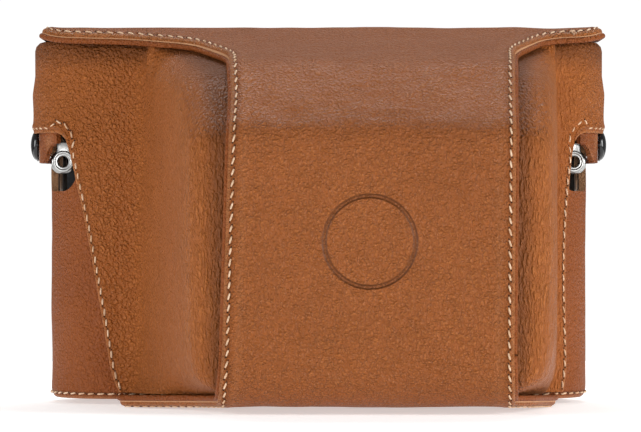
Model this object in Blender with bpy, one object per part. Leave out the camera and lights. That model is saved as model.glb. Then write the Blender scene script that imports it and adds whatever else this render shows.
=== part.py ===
"""Leather ever ready case for a compact camera: half case, front cover with a nose, lug tabs and strap.

Case coordinates are in millimetres. x runs to the right, seen from the front. y runs to the rear, with 0 on
the outside of the half case's front wall. z runs up, with 0 on the surface that the case stands on.
Many shapes are described once for both ends. Then an "outward" coordinate is used, which is x on the right
end and -x on the left end.
"""
import math

import bmesh
import bpy
from mathutils import Vector

MM = 0.001
LEFT, RIGHT = -1, 1
GAP = 0.3                     # clearance between touching pieces

# Half case
BODY_HALF = 68.0              # half of its width
BODY_DEPTH = 40.0
BODY_CORNER = 17.0            # radius of its upright corners
WALL = 1.8                    # leather thickness
WALL_FOOT = 1.3               # underside of the wall
REAR_TOP = 69.2               # top edge of the back and of the ends
FRONT_TOP = 60.0              # top edge of the front
LENS_CUT_HALF = 44.0
LENS_CUT_FOOT = 14.0
LENS_CUT_RADIUS = 12.0
NOTCH_FOOT = 53.4             # lowest point of the lug notches
NOTCH_HALF = 7.6
NOTCH_ANGLE = math.radians(28)

# Front cover
LEATHER = 1.4                 # centre panel
SIDE_LEATHER = 1.5            # moulded side panels
WELT = 1.1
NOSE_X = 12.4                 # the lens, and so the nose, sits right of the middle
NOSE_FRONT = -55.0
BEVEL_LOW = 68.0              # height where the front turns into the bevel
BEVEL_HIGH = (-38.5, 84.5)    # (y, z) where the bevel turns into the sloping top
TOP = 94.6
COVER_REAR = 41.0
COVER_HEM = 69.7              # lower edge of the cover round the ends and the back
STITCH_TO_EDGE = 1.3
HINGE_GAP = 1.5
SHOULDER_Y = NOSE_FRONT + LEATHER + WELT + 2 * GAP
FACE_Y = -GAP - 1.6           # outside of the side panels where they lie on the half case
RIM_DEPTH = LEATHER + WELT + 2 * GAP
END_TOP_LEFT = 69.4           # reach of the centre panel over the left end
END_TOP_RIGHT = 71.3          # and over the right end

# Press studs
TAB_STUD = Vector((BODY_HALF, 20.0, 65.2))
STRAP_STUD_Z = 82.0

# Middle of the whole case, from its front and rear extent
CENTRE_Y = -4.25


# ---------------------------------------------------------------- outlines

def rounded(corners, step_angle=math.radians(15)):
    """Polyline through corners (a, b, radius), each corner turned into an arc."""
    points = [Vector(corners[0][:2])]
    for before, corner, after in zip(corners, corners[1:], corners[2:]):
        here = Vector(corner[:2])
        back = (Vector(before[:2]) - here).normalized()
        ahead = (Vector(after[:2]) - here).normalized()
        turn = math.pi - back.angle(ahead)
        radius = corner[2] if len(corner) > 2 else 0.0
        if radius <= 0 or turn < 0.02:
            points.append(here)
            continue
        reach = radius * math.tan(turn / 2)
        centre = here + (back + ahead).normalized() * (radius / math.cos(turn / 2))
        first = here + back * reach - centre
        steps = max(2, math.ceil(turn / step_angle))
        sign = 1 if back.x * ahead.y - back.y * ahead.x < 0 else -1
        for i in range(steps + 1):
            angle = sign * turn * i / steps
            spun = Vector((first.x * math.cos(angle) - first.y * math.sin(angle),
                           first.x * math.sin(angle) + first.y * math.cos(angle)))
            points.append(centre + spun)
    points.append(Vector(corners[-1][:2]))
    return points


def lengths(points):
    """Distance along a polyline at each of its points."""
    total = [0.0]
    for a, b in zip(points, points[1:]):
        total.append(total[-1] + (b - a).length)
    return total


def interpolate(value, xs, ys):
    """Straight-line interpolation in a table with rising xs, held at its ends."""
    if value <= xs[0]:
        return ys[0]
    for x0, x1, y0, y1 in zip(xs, xs[1:], ys, ys[1:]):
        if value <= x1:
            return y0 + (y1 - y0) * (value - x0) / (x1 - x0)
    return ys[-1]


def point_at(points, distances, s):
    """Point and unit direction at distance s along a polyline."""
    last = len(points) - 2
    for i in range(last + 1):
        if s <= distances[i + 1] or i == last:
            a, b = points[i], points[i + 1]
            step = (b - a).length
            return a + (b - a) * ((s - distances[i]) / step), (b - a) / step


# The centre panel bends one way only, so one profile in the y-z plane gives its whole shape.
PROFILE = rounded([
    (-HINGE_GAP, 0.0),
    (-12.0, 0.0, 30.0),
    (NOSE_FRONT, 1.8, 10.0),
    (NOSE_FRONT, BEVEL_LOW, 9.0),
    (*BEVEL_HIGH, 14.0),
    (1.5, TOP, 14.0),
    (COVER_REAR, TOP, 6.0),
    (COVER_REAR, COVER_HEM)])
PROFILE_S = lengths(PROFILE)
PROFILE_END = PROFILE_S[-1]
FRONT_MID_S = PROFILE_S[min(range(len(PROFILE)), key=lambda i: abs(PROFILE[i].y - 20)
                            + abs(PROFILE[i].x - NOSE_FRONT))]


def profile_at(s, depth=0.0):
    """(y, z) on the centre panel at arc length s, at a depth under its outer face."""
    point, way = point_at(PROFILE, PROFILE_S, s)
    return point.x + way.y * depth, point.y - way.x * depth


def profile_samples():
    """Arc length, y and z along the profile, finely."""
    steps = 600
    for i in range(steps + 1):
        s = PROFILE_END * i / steps
        y, z = profile_at(s)
        yield s, y, z


SAMPLES = list(profile_samples())
S_BOTTOM_END = min(SAMPLES, key=lambda p: abs(p[1] - NOSE_FRONT) + abs(p[2] - 12))[0]
S_FRONT_END = min(SAMPLES, key=lambda p: abs(p[1] - NOSE_FRONT) + abs(p[2] - 64))[0]
S_TOP_END = min(SAMPLES, key=lambda p: abs(p[1] - COVER_REAR) + abs(p[2] - 86))[0]


def s_at_bottom(y):
    return min((p for p in SAMPLES if p[0] <= S_BOTTOM_END), key=lambda p: abs(p[1] - y))[0]


def s_at_front(z):
    return min((p for p in SAMPLES if S_BOTTOM_END <= p[0] <= S_FRONT_END), key=lambda p: abs(p[2] - z))[0]


def s_at_top(y):
    return min((p for p in SAMPLES if S_FRONT_END <= p[0] <= S_TOP_END), key=lambda p: abs(p[1] - y))[0]


def s_at_back(z):
    return min((p for p in SAMPLES if p[0] >= S_TOP_END), key=lambda p: abs(p[2] - z))[0]


FLOOR = [profile_at(p[0], RIM_DEPTH) for p in SAMPLES if profile_at(p[0])[0] > -44 and p[0] < FRONT_MID_S]
ROOF = [profile_at(p[0], RIM_DEPTH) for p in SAMPLES if p[0] > FRONT_MID_S and p[0] <= S_TOP_END]


def floor_height(y):
    """Height of the side panel's lower edge over a place in plan."""
    return interpolate(-y, [-p[0] for p in FLOOR], [p[1] for p in FLOOR])


def roof_height(y):
    """Height of the side panel's turned edge under the centre panel's top, over a place in plan."""
    return interpolate(y, [p[0] for p in ROOF], [p[1] for p in ROOF])


def panel_outline(side):
    """Edge of the centre panel as (arc length, outward) points, from the hinge to the back."""
    end = END_TOP_LEFT if side == LEFT else END_TOP_RIGHT
    foot = {LEFT: [(s_at_bottom(-HINGE_GAP), 49.0), (s_at_bottom(-14.5), 49.0, 3), (s_at_bottom(-18.5), 43.5, 5),
                   (s_at_bottom(-32), 29.8, 6), (s_at_bottom(-42), 24.4, 4)],
            RIGHT: [(s_at_bottom(-HINGE_GAP), 58.6), (s_at_bottom(-12), 58.6, 4), (s_at_bottom(-36), 52.0, 8),
                    (s_at_bottom(-44), 47.0, 4)]}[side]
    band = {LEFT: [(s_at_front(14), 22.9, 30), (s_at_front(47), 21.9, 200), (s_at_top(-46), 20.8, 60),
                   (s_at_top(-28), 21.8, 16), (s_at_top(-13), 31.0, 14), (s_at_top(-6.8), 47.0, 20)],
            RIGHT: [(s_at_front(14), 46.4, 30), (s_at_front(47), 46.7, 200), (s_at_top(-46), 47.0, 60),
                    (s_at_top(-23), 48.0, 20), (s_at_top(-5), 57.0, 12)]}[side]
    crown = [(s_at_top(-3.8), end, 9),
             (s_at_top(28), end, 12),
             (s_at_back(91), 52.0, 8),
             (PROFILE_END, 50.0)]
    return rounded(foot + band + crown)


OUTLINES = {side: panel_outline(side) for side in (LEFT, RIGHT)}


def half_width(side, s):
    """Outward coordinate of the centre panel's edge at arc length s."""
    outline = OUTLINES[side]
    return interpolate(s, [p.x for p in outline], [p.y for p in outline])


# ---------------------------------------------------------------- meshes

case_frame = None


def material(name, colour, roughness=0.6, metallic=0.0):
    """One Principled material."""
    made = bpy.data.materials.get(name) or bpy.data.materials.new(name)
    made.use_nodes = True
    shader = made.node_tree.nodes["Principled BSDF"]
    shader.inputs["Base Color"].default_value = (*colour, 1)
    shader.inputs["Roughness"].default_value = roughness
    shader.inputs["Metallic"].default_value = metallic
    return made


def finish_mesh(name, bm, paint, sharp=35):
    """Turn a bmesh in millimetres into a named object with outward faces."""
    bmesh.ops.remove_doubles(bm, verts=bm.verts, dist=0.001)
    bmesh.ops.recalc_face_normals(bm, faces=bm.faces)
    if bm.calc_volume(signed=True) < 0:
        bmesh.ops.reverse_faces(bm, faces=bm.faces)
    bmesh.ops.scale(bm, vec=(MM, MM, MM), verts=bm.verts)
    mesh = bpy.data.meshes.new(name)
    bm.to_mesh(mesh)
    bm.free()
    mesh.shade_smooth()
    mesh.set_sharp_from_angle(angle=math.radians(sharp))
    mesh.materials.append(paint)
    made = bpy.data.objects.new(name, mesh)
    bpy.context.collection.objects.link(made)
    made.parent = case_frame
    return made


def thick_sheet(name, outer, inner, cells, paint):
    """Closed body between two point grids, over the listed cells of the grid."""
    bm = bmesh.new()
    top = {key: bm.verts.new(point) for key, point in outer.items()}
    under = {key: bm.verts.new(point) for key, point in inner.items()}
    uses = {}
    for i, j in cells:
        ring = [(i, j), (i, j + 1), (i + 1, j + 1), (i + 1, j)]
        bm.faces.new([top[key] for key in ring])
        bm.faces.new([under[key] for key in reversed(ring)])
        for a, b in zip(ring, ring[1:] + ring[:1]):
            uses.setdefault(frozenset((a, b)), []).append((a, b))
    for used in uses.values():
        if len(used) == 1:
            a, b = used[0]
            bm.faces.new([top[b], top[a], under[a], under[b]])
    bmesh.ops.delete(bm, geom=[v for v in bm.verts if not v.link_faces], context="VERTS")
    return finish_mesh(name, bm, paint)


def prism(name, outline, low, high, paint, rotate=None):
    """Upright prism over a closed outline, from height low to height high."""
    bm = bmesh.new()
    floor = [bm.verts.new((p[0], p[1], low)) for p in outline]
    roof = [bm.verts.new((p[0], p[1], high)) for p in outline]
    bm.faces.new(floor)
    bm.faces.new(roof)
    for i in range(len(outline)):
        j = (i + 1) % len(outline)
        bm.faces.new([floor[i], floor[j], roof[j], roof[i]])
    if rotate is not None:
        bmesh.ops.transform(bm, matrix=rotate, verts=bm.verts)
    return finish_mesh(name, bm, paint)


def wall_ring(name, outside, inside, low, high, paint):
    """Upright wall between two closed outlines with the same number of points."""
    bm = bmesh.new()
    loops = [[bm.verts.new((p[0], p[1], z)) for p in line]
             for line, z in ((outside, low), (outside, high), (inside, high), (inside, low))]
    count = len(outside)
    for a, b in zip(loops, loops[1:] + loops[:1]):
        for i in range(count):
            j = (i + 1) % count
            bm.faces.new([a[i], a[j], b[j], b[i]])
    return finish_mesh(name, bm, paint)


def turned(name, profile, place, axis, paint, segments=16):
    """Body turned about an axis, from (radius, height) points. Points on the axis close it."""
    bm = bmesh.new()
    rings = []
    for radius, height in profile:
        if radius == 0:
            rings.append([bm.verts.new((0, 0, height))] * segments)
        else:
            rings.append([bm.verts.new((radius * math.cos(2 * math.pi * i / segments),
                                        radius * math.sin(2 * math.pi * i / segments), height))
                          for i in range(segments)])
    pairs = list(zip(rings, rings[1:]))
    if profile[0][0] > 0:
        pairs.append((rings[-1], rings[0]))
    for a, b in pairs:
        for i in range(segments):
            j = (i + 1) % segments
            corners = []
            for vert in (a[i], a[j], b[j], b[i]):
                if vert not in corners:
                    corners.append(vert)
            if len(corners) > 2:
                bm.faces.new(corners)
    spin = Vector(axis).to_track_quat("Z", "Y").to_matrix().to_4x4()
    spin.translation = Vector(place)
    bmesh.ops.transform(bm, matrix=spin, verts=bm.verts)
    return finish_mesh(name, bm, paint, sharp=45)


def cut(piece, *cutters):
    """Cut a piece with wire cutters, which the model itself leaves out."""
    for cutter in cutters:
        cutter.hide_render = True
        cutter.display_type = "WIRE"
        change = piece.modifiers.new(f"cut_{cutter.name}", "BOOLEAN")
        change.operation = "DIFFERENCE"
        change.solver = "EXACT"
        change.object = cutter


# ---------------------------------------------------------------- half case

def body_outline(inset):
    """Closed plan outline of the half case, a rounded rectangle, inset by a distance."""
    half = BODY_HALF - inset
    radius = BODY_CORNER - inset
    low, high = inset, BODY_DEPTH - inset
    middle = (0.0, low)
    line = rounded([middle, (half, low, radius), (half, high, radius), (-half, high, radius),
                    (-half, low, radius), middle], math.radians(11.25))
    return line[:-1]


def lens_cutter():
    """Wide opening with round lower corners through the front wall, for the lens."""
    height = REAR_TOP + 10
    outline = rounded([(NOSE_X, LENS_CUT_FOOT), (NOSE_X + LENS_CUT_HALF, LENS_CUT_FOOT, LENS_CUT_RADIUS),
                       (NOSE_X + LENS_CUT_HALF, height), (NOSE_X - LENS_CUT_HALF, height),
                       (NOSE_X - LENS_CUT_HALF, LENS_CUT_FOOT, LENS_CUT_RADIUS), (NOSE_X, LENS_CUT_FOOT)])
    bm = bmesh.new()
    front = [bm.verts.new((p.x, -5, p.y)) for p in outline[:-1]]
    back = [bm.verts.new((p.x, 12, p.y)) for p in outline[:-1]]
    bm.faces.new(front)
    bm.faces.new(back)
    for i in range(len(front)):
        j = (i + 1) % len(front)
        bm.faces.new([front[i], front[j], back[j], back[i]])
    return finish_mesh("cutter_lens", bm, material("cutter", (1, 0, 0)))


def front_top_cutter():
    """Takes the front wall down from the height of the back to its own height."""
    span = BODY_HALF - 7.2
    return prism("cutter_front_top", [(-span, -5), (span, -5), (span, 12), (-span, 12)],
                 FRONT_TOP, REAR_TOP + 5, material("cutter", (1, 0, 0)))


def notch_cutter(side):
    """U-shaped cutter through a front corner, where the strap lug comes out."""
    height = REAR_TOP + 10
    outline = rounded([(0, NOTCH_FOOT), (NOTCH_HALF, NOTCH_FOOT, 5.0), (NOTCH_HALF, height),
                       (-NOTCH_HALF, height), (-NOTCH_HALF, NOTCH_FOOT, 5.0), (0, NOTCH_FOOT)])
    centre = Vector((side * (BODY_HALF - BODY_CORNER), BODY_CORNER, 0))
    away = Vector((side * math.cos(NOTCH_ANGLE), -math.sin(NOTCH_ANGLE), 0))
    across = Vector((-away.y, away.x, 0))
    bm = bmesh.new()
    near = [bm.verts.new(centre + away * 12.0 + across * p.x + Vector((0, 0, p.y))) for p in outline[:-1]]
    far = [bm.verts.new(centre + away * 24.0 + across * p.x + Vector((0, 0, p.y))) for p in outline[:-1]]
    bm.faces.new(near)
    bm.faces.new(far)
    for i in range(len(near)):
        j = (i + 1) % len(near)
        bm.faces.new([near[i], near[j], far[j], far[i]])
    return finish_mesh(f"cutter_notch_{'left' if side == LEFT else 'right'}", bm,
                       material("cutter", (1, 0, 0)))


def hole_cutter(name, place, axis, radius=1.6):
    """Round cutter for a press stud's post."""
    return turned(name, [(0, -4), (radius, -4), (radius, 4), (0, 4)], place, axis,
                  material("cutter", (1, 0, 0)), 12)


def half_case():
    """Wall, sole, board, linings and flap."""
    cutters = [lens_cutter(), front_top_cutter(), notch_cutter(LEFT), notch_cutter(RIGHT)]
    stud_holes = [hole_cutter(f"cutter_ear_{side}", (side * TAB_STUD.x, TAB_STUD.y, TAB_STUD.z), (1, 0, 0))
                  for side in (LEFT, RIGHT)]
    wall = wall_ring("half_case_wall", body_outline(0), body_outline(WALL), WALL_FOOT, REAR_TOP,
                     material("smooth_leather", (0.42, 0.17, 0.06)))
    cut(wall, *cutters, *stud_holes)
    lining = wall_ring("half_case_lining", body_outline(WALL + GAP), body_outline(WALL + GAP + 0.8),
                       5.2, REAR_TOP - 1.0, material("suede", (0.35, 0.22, 0.13), 0.9))
    cut(lining, *cutters, *stud_holes)
    prism("half_case_base", body_outline(WALL + GAP), WALL_FOOT, 2.9,
          material("smooth_leather", (0.42, 0.17, 0.06)))
    prism("base_board", body_outline(WALL + GAP), 3.2, 4.9, material("board", (0.2, 0.15, 0.1), 0.9))
    prism("floor_lining", body_outline(WALL + 2 * GAP + 0.8), 5.2, 6.2, material("suede", (0.35, 0.22, 0.13)))
    flap = rounded([(0, 2.4), (57.0, 2.4, 3), (57.0, 34, 6), (-55.5, 34, 6), (-55.5, 2.4, 3), (0, 2.4)])
    prism("hinge_flap", flap[:-1], 0.0, 1.0, material("smooth_leather", (0.42, 0.17, 0.06)))


def arc_strip(side, radius, thickness, start, end, step=10):
    """Plan outline of a strip bent round one end: outside points, then inside points.

    start and end are outward-plan places: a positive number is an angle on the front corner past the flat of
    the end, a negative number an angle on the rear corner, both in degrees.
    """
    front = Vector((BODY_HALF - BODY_CORNER, BODY_CORNER))
    rear = Vector((BODY_HALF - BODY_CORNER, BODY_DEPTH - BODY_CORNER))
    pairs = []
    count = max(1, round(abs(start) / step))
    for i in range(count + 1):
        angle = math.radians(-start * (1 - i / count))
        way = Vector((math.cos(angle), math.sin(angle)))
        pairs.append((rear + way * (radius + thickness), rear + way * radius))
    count = max(1, round(end / step))
    for i in range(count + 1):
        angle = math.radians(end * i / count)
        way = Vector((math.cos(angle), -math.sin(angle)))
        pairs.append((front + way * (radius + thickness), front + way * radius))
    return [(Vector((side * a.x, a.y)), Vector((side * b.x, b.y))) for a, b in pairs]


TAB_LOW, TAB_HIGH = 60.6, 68.8
TAB_FRONT_ANGLE = 42.5
TAB_HINGE_ANGLE = 50


def tab_foot(outward):
    """Lower edge of a lug tab: straight, then a hollow curve over the lug."""
    start, reach, rise = 67.8, 2.8, 4.8
    if outward >= start:
        return TAB_LOW
    if outward <= start - reach:
        return TAB_LOW + rise
    return TAB_LOW + rise * math.sqrt(1 - ((outward - start + reach) / reach) ** 2)


def lug_tab(side, label):
    """Leather tab that wraps the end of the case over the strap lug."""
    strip = arc_strip(side, BODY_CORNER + 1.6, LEATHER, -TAB_HINGE_ANGLE, TAB_FRONT_ANGLE, 5)
    outer, inner = {}, {}
    for i, (a, b) in enumerate(strip):
        for j in range(3):
            low = tab_foot(side * b.x)
            z = low + (TAB_HIGH - low) * j / 2
            outer[i, j] = (a.x, a.y, z)
            inner[i, j] = (b.x, b.y, z)
    cells = [(i, j) for i in range(len(strip) - 1) for j in range(2)]
    tab = thick_sheet(f"lug_tab_{label}", outer, inner, cells, material("smooth_leather", (0.42, 0.17, 0.06)))
    cut(tab, hole_cutter(f"cutter_tab_{label}", (side * (BODY_HALF + 2.3), TAB_STUD.y, TAB_STUD.z), (1, 0, 0)))


def tab_anchor(side, label):
    """The sewn end of a lug tab, round the rear corner and on the back."""
    rear = Vector((BODY_HALF - BODY_CORNER, BODY_DEPTH - BODY_CORNER))
    inside = BODY_CORNER + GAP
    pairs = []
    for i in range(5):
        angle = math.radians(57 + (90 - 57) * i / 4)
        way = Vector((math.cos(angle), math.sin(angle)))
        pairs.append((rear + way * (inside + LEATHER), rear + way * inside))
    pairs.append((Vector((38, BODY_DEPTH + GAP + LEATHER)), Vector((38, BODY_DEPTH + GAP))))
    outline = [(side * a.x, a.y) for a, b in pairs] + [(side * b.x, b.y) for a, b in reversed(pairs)]
    prism(f"tab_anchor_{label}", outline, TAB_LOW, TAB_HIGH, material("smooth_leather", (0.42, 0.17, 0.06)))


def press_stud(names, place, axis, standoff, leather, backing, size=1.0):
    """Cap and socket on the moving leather, stud and post on the fixed leather.

    place is on the fixed leather's outer face, and heights run outwards from it.
    """
    cap_name, socket_name, stud_name, post_name = names
    outer = standoff + leather + GAP
    black = material("black_enamel", (0.01, 0.01, 0.012), 0.2)
    steel = material("nickel", (0.6, 0.6, 0.6), 0.25, 1.0)
    cap_radius = 4.1 * size
    turned(cap_name, [(0, outer + 2.1), (cap_radius * 0.55, outer + 1.85), (cap_radius * 0.88, outer + 1.2),
                      (cap_radius, outer + 0.35), (cap_radius * 0.97, outer), (1.2, outer),
                      (1.2, standoff - 0.2), (0, standoff - 0.2)], place, axis, black, 18)
    turned(socket_name, [(2.9, standoff - GAP), (4.0, standoff - GAP), (4.0, standoff - 0.7),
                         (3.6, standoff - 1.0), (2.9, standoff - 1.0)], place, axis, steel, 16)
    turned(stud_name, [(3.2, GAP), (3.2, GAP + 0.2), (1.9, GAP + 0.25), (1.7, GAP + 0.5),
                       (1.9, standoff - 0.6), (1.1, standoff - 0.6), (1.1, GAP)], place, axis, steel, 16)
    turned(post_name, [(0, standoff - 0.8), (0.8, standoff - 0.8), (0.8, -backing - GAP),
                       (3.4, -backing - GAP), (3.4, -backing - GAP - 0.35), (0, -backing - GAP - 0.4)],
           place, axis, steel, 16)


def lug(side, label):
    """Steel strap lug with an eye, and the black plate that it stands on."""
    centre = Vector((side * (BODY_HALF - BODY_CORNER), BODY_CORNER, 0))
    away = Vector((side * math.sin(math.radians(45)), -math.cos(math.radians(45)), 0))
    across = Vector((-away.y, away.x, 0))
    corners = [away * 11.5 + across * 6.5, away * 11.5 - across * 6.5,
               away * 10.3 - across * 6.5, away * 10.3 + across * 6.5]
    prism(f"lug_plate_{label}", [centre + c for c in corners], 49.0, 68.0,
          material("black_enamel", (0.01, 0.01, 0.012), 0.3))
    eye = Vector((side * 64.5, 10.5, 60.9))
    hole, steps, half = 1.35, 28, 0.9
    bm = bmesh.new()
    rings = []
    for reach, y in ((None, -half), (None, half), (hole, half), (hole, -half)):
        ring = []
        for i in range(steps):
            angle = 2 * math.pi * (i + 0.5) / steps
            radius = reach if reach else lug_reach(angle)
            ring.append(bm.verts.new(eye + Vector((side * radius * math.cos(angle), y,
                                                   radius * math.sin(angle)))))
        rings.append(ring)
    for a, b in zip(rings, rings[1:] + rings[:1]):
        for i in range(steps):
            j = (i + 1) % steps
            bm.faces.new([a[i], a[j], b[j], b[i]])
    finish_mesh(f"strap_lug_{label}", bm, material("steel", (0.55, 0.55, 0.54), 0.25, 1.0), 30)


def lug_reach(angle):
    """Distance from the eye's middle to the lug's outline: a ring, a neck upwards and a foot inwards."""
    ring = 2.9
    if math.sin(angle) < -0.2:
        ring = min(3.3, 3.0 / max(0.2, -math.sin(angle)))
    reach = ring
    for way, half, far in ((math.pi / 2, 1.7, 5.0), (math.pi, 1.9, 2.6)):
        off = math.atan2(math.sin(angle - way), math.cos(angle - way))
        if abs(off) < math.radians(60):
            along = far / math.cos(off)
            sideways = half / max(1e-6, abs(math.sin(off)))
            reach = max(reach, min(along, sideways))
    if math.cos(angle) < 0:
        reach = min(reach, 2.3 / -math.cos(angle))
    return reach


# ---------------------------------------------------------------- front cover

def eroded_half_width(side, s, inset):
    """Half-width of a piece that keeps clear of the centre panel's edge in every direction."""
    return min(half_width(side, s + inset * i / 2) for i in range(-2, 3)) - inset


def centre_sheet(name, depths, inset, start, end, rows, columns, paint):
    """Sheet that follows the centre panel between two depths, inset from the panel's edge."""
    stations = [start + (end - start) * i / rows for i in range(rows + 1)]
    for s in PROFILE_S:
        if start < s < end and min(abs(s - other) for other in stations) > 1.8:
            stations.append(s)
    for side in (LEFT, RIGHT):
        for p in OUTLINES[side]:
            if start < p.x < end and min(abs(p.x - other) for other in stations) > 1.8:
                stations.append(p.x)
    stations.sort()
    outer, inner = {}, {}
    for i, s in enumerate(stations):
        left = -eroded_half_width(LEFT, s, inset)
        right = eroded_half_width(RIGHT, s, inset)
        for j in range(columns + 1):
            x = left + (right - left) * j / columns
            outer[i, j] = (x, *profile_at(s, depths[0]))
            inner[i, j] = (x, *profile_at(s, depths[1]))
    cells = [(i, j) for i in range(len(stations) - 1) for j in range(columns)]
    return thick_sheet(name, outer, inner, cells, paint)


def welt(side, label):
    """Raised leather strip between the centre panel and a side panel."""
    outline = OUTLINES[side]
    distances = lengths(outline)
    count = 64
    outer, inner = {}, {}
    for i in range(count + 1):
        point, way = point_at(outline, distances, 1.0 + (distances[-1] - 2.0) * i / count)
        out = Vector((-way.y, way.x))
        for j, reach in enumerate((-1.6, 1.4)):
            spot = point + out * reach
            s = min(max(spot.x, 0.2), PROFILE_END - 0.2)
            outer[i, j] = (side * spot.y, *profile_at(s, LEATHER + GAP))
            inner[i, j] = (side * spot.y, *profile_at(s, LEATHER + GAP + WELT))
    cells = [(i, 0) for i in range(count)]
    thick_sheet(f"cover_welt_{label}", outer, inner, cells, material("smooth_leather", (0.42, 0.17, 0.06)))


HEMS = {LEFT: ((1.5, 4.1, 8.4, 29.4, 47.1, 58.7, 66.2, 68.7, 69.7),
               (47.4, 48.5, 51.0, 55.0, 58.7, 61.9, 63.6, 65.3, 67.4)),
        RIGHT: ((1.5, 4.2, 9.4, 18.4, 31.9, 47.1, 53.7, 65.4, 68.0, 69.7),
                (60.2, 61.0, 61.8, 61.8, 61.1, 61.8, 62.3, 63.5, 65.3, 67.4))}


def end_half(z):
    """Outward reach of the cover over the ends: it flares from the hem's front down to its lower edge."""
    if z >= COVER_HEM:
        return 74.3 - 2.2 * (z - COVER_HEM) / (91 - COVER_HEM)
    t = min(1.0, max(0.0, (z - 50) / (COVER_HEM - 50)))
    return 69.9 + 4.4 * t * t * (3 - 2 * t)


# Plan of the nose's side walls as outward coordinates over y: over most of the height, and at the foot
WALL_PLAN = {
    LEFT: (((-1.9, 44.0), (-14.0, 40.6), (-34.0, 35.4), (-46.0, 32.4)),
           ((-1.9, 46.6), (-12.0, 46.6), (-17.0, 41.4), (-30.5, 27.6), (-41.0, 22.4), (-46.0, 21.6))),
    RIGHT: (((-1.9, 59.5), (-14.0, 58.9), (-34.0, 57.8), (-46.0, 57.2)),
            ((-1.9, 56.4), (-12.0, 56.2), (-35.0, 49.8), (-42.0, 45.4), (-46.0, 44.6)))}
WALL_ROUND = 5.0              # how far these plans' corners are rounded
SHOULDER = 6.5                # size of the shoulder between a side wall and the nose's front
FOOT_HEIGHT = 13.0            # the walls draw in below this
FRONT_END_Y = -6.6            # where the nose runs into the body of the cover


def wall_outward(side, y, draw):
    """Outward coordinate of a nose wall. draw is 0 over most of the height and 1 at the foot."""
    main, foot = WALL_PLAN[side]
    reach = []
    for plan in (main, foot):
        ys, xs = [-p[0] for p in plan], [p[1] for p in plan]
        spread = min(WALL_ROUND, max(0.0, -y - 3.0))
        near = [interpolate(-y + spread * k / 4, ys, xs) for k in (-4, -2, 0, 2, 4)]
        reach.append((near[0] + 2 * near[1] + 2 * near[2] + 2 * near[3] + near[4]) / 8)
    return reach[0] + (reach[1] - reach[0]) * draw


def rail(depth):
    """(y, z) stations at a depth under the bevel and the sloping top, with the same stations at any depth."""
    slope = (TOP - BEVEL_HIGH[1]) / (1.5 - BEVEL_HIGH[0])
    tilt, bevel = math.atan(slope), math.radians(45)
    low = (NOSE_FRONT + depth, BEVEL_LOW + depth * math.tan(-bevel / 2))
    turn = (bevel - tilt) / 2
    middle = (bevel + tilt) / 2
    high = (BEVEL_HIGH[0] + depth * math.sin(middle) / math.cos(turn),
            BEVEL_HIGH[1] - depth * math.cos(middle) / math.cos(turn))
    end = (FRONT_END_Y, high[1] + (FRONT_END_Y - high[0]) * slope)
    line = rounded([(low[0], 55.0), (*low, max(9.0 - depth, 2.0)), (*high, max(14.0 - depth, 4.0)), end],
                   math.radians(23))
    top = [line[-2] + (line[-1] - line[-2]) * k / 4 for k in (1, 2, 3)]
    return line[1:-1] + top + [line[-1]]


def rim_stations():
    """Pairs of (y, z) on the turned edge and on the wall, from the foot to the top, with how much walls draw."""
    stations = []
    radius = 10.0 - RIM_DEPTH
    foot = floor_height(-44.0)
    for k in range(5):
        t = (0.0, 0.1, 0.3, 0.6, 1.0)[k]
        z = foot + (FOOT_HEIGHT - foot) * t
        rise = min(1.0, (z - foot) / radius)
        y = SHOULDER_Y + radius - radius * math.sqrt(1 - (1 - rise) ** 2)
        wall = SHOULDER_Y + SHOULDER + 0.6 * (1 - t)
        draw = 1 - math.sqrt(1 - (1 - t) ** 2)
        stations.append(((min(y, wall - 0.6), z), (wall, z), draw))
    for z in (24.0, 36.0, 48.0, 58.0):
        stations.append(((SHOULDER_Y, z), (SHOULDER_Y + SHOULDER, z), 0.0))
    for edge, wall in zip(rail(RIM_DEPTH), rail(RIM_DEPTH + SHOULDER)):
        stations.append(((edge.x, edge.y), (wall.x, wall.y), 0.0))
    return stations


END_COLUMNS, HEM_COLUMNS, FOOT_COLUMNS, WALL_COLUMNS, SHOULDER_COLUMNS = 8, 2, 3, 4, 3


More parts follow.
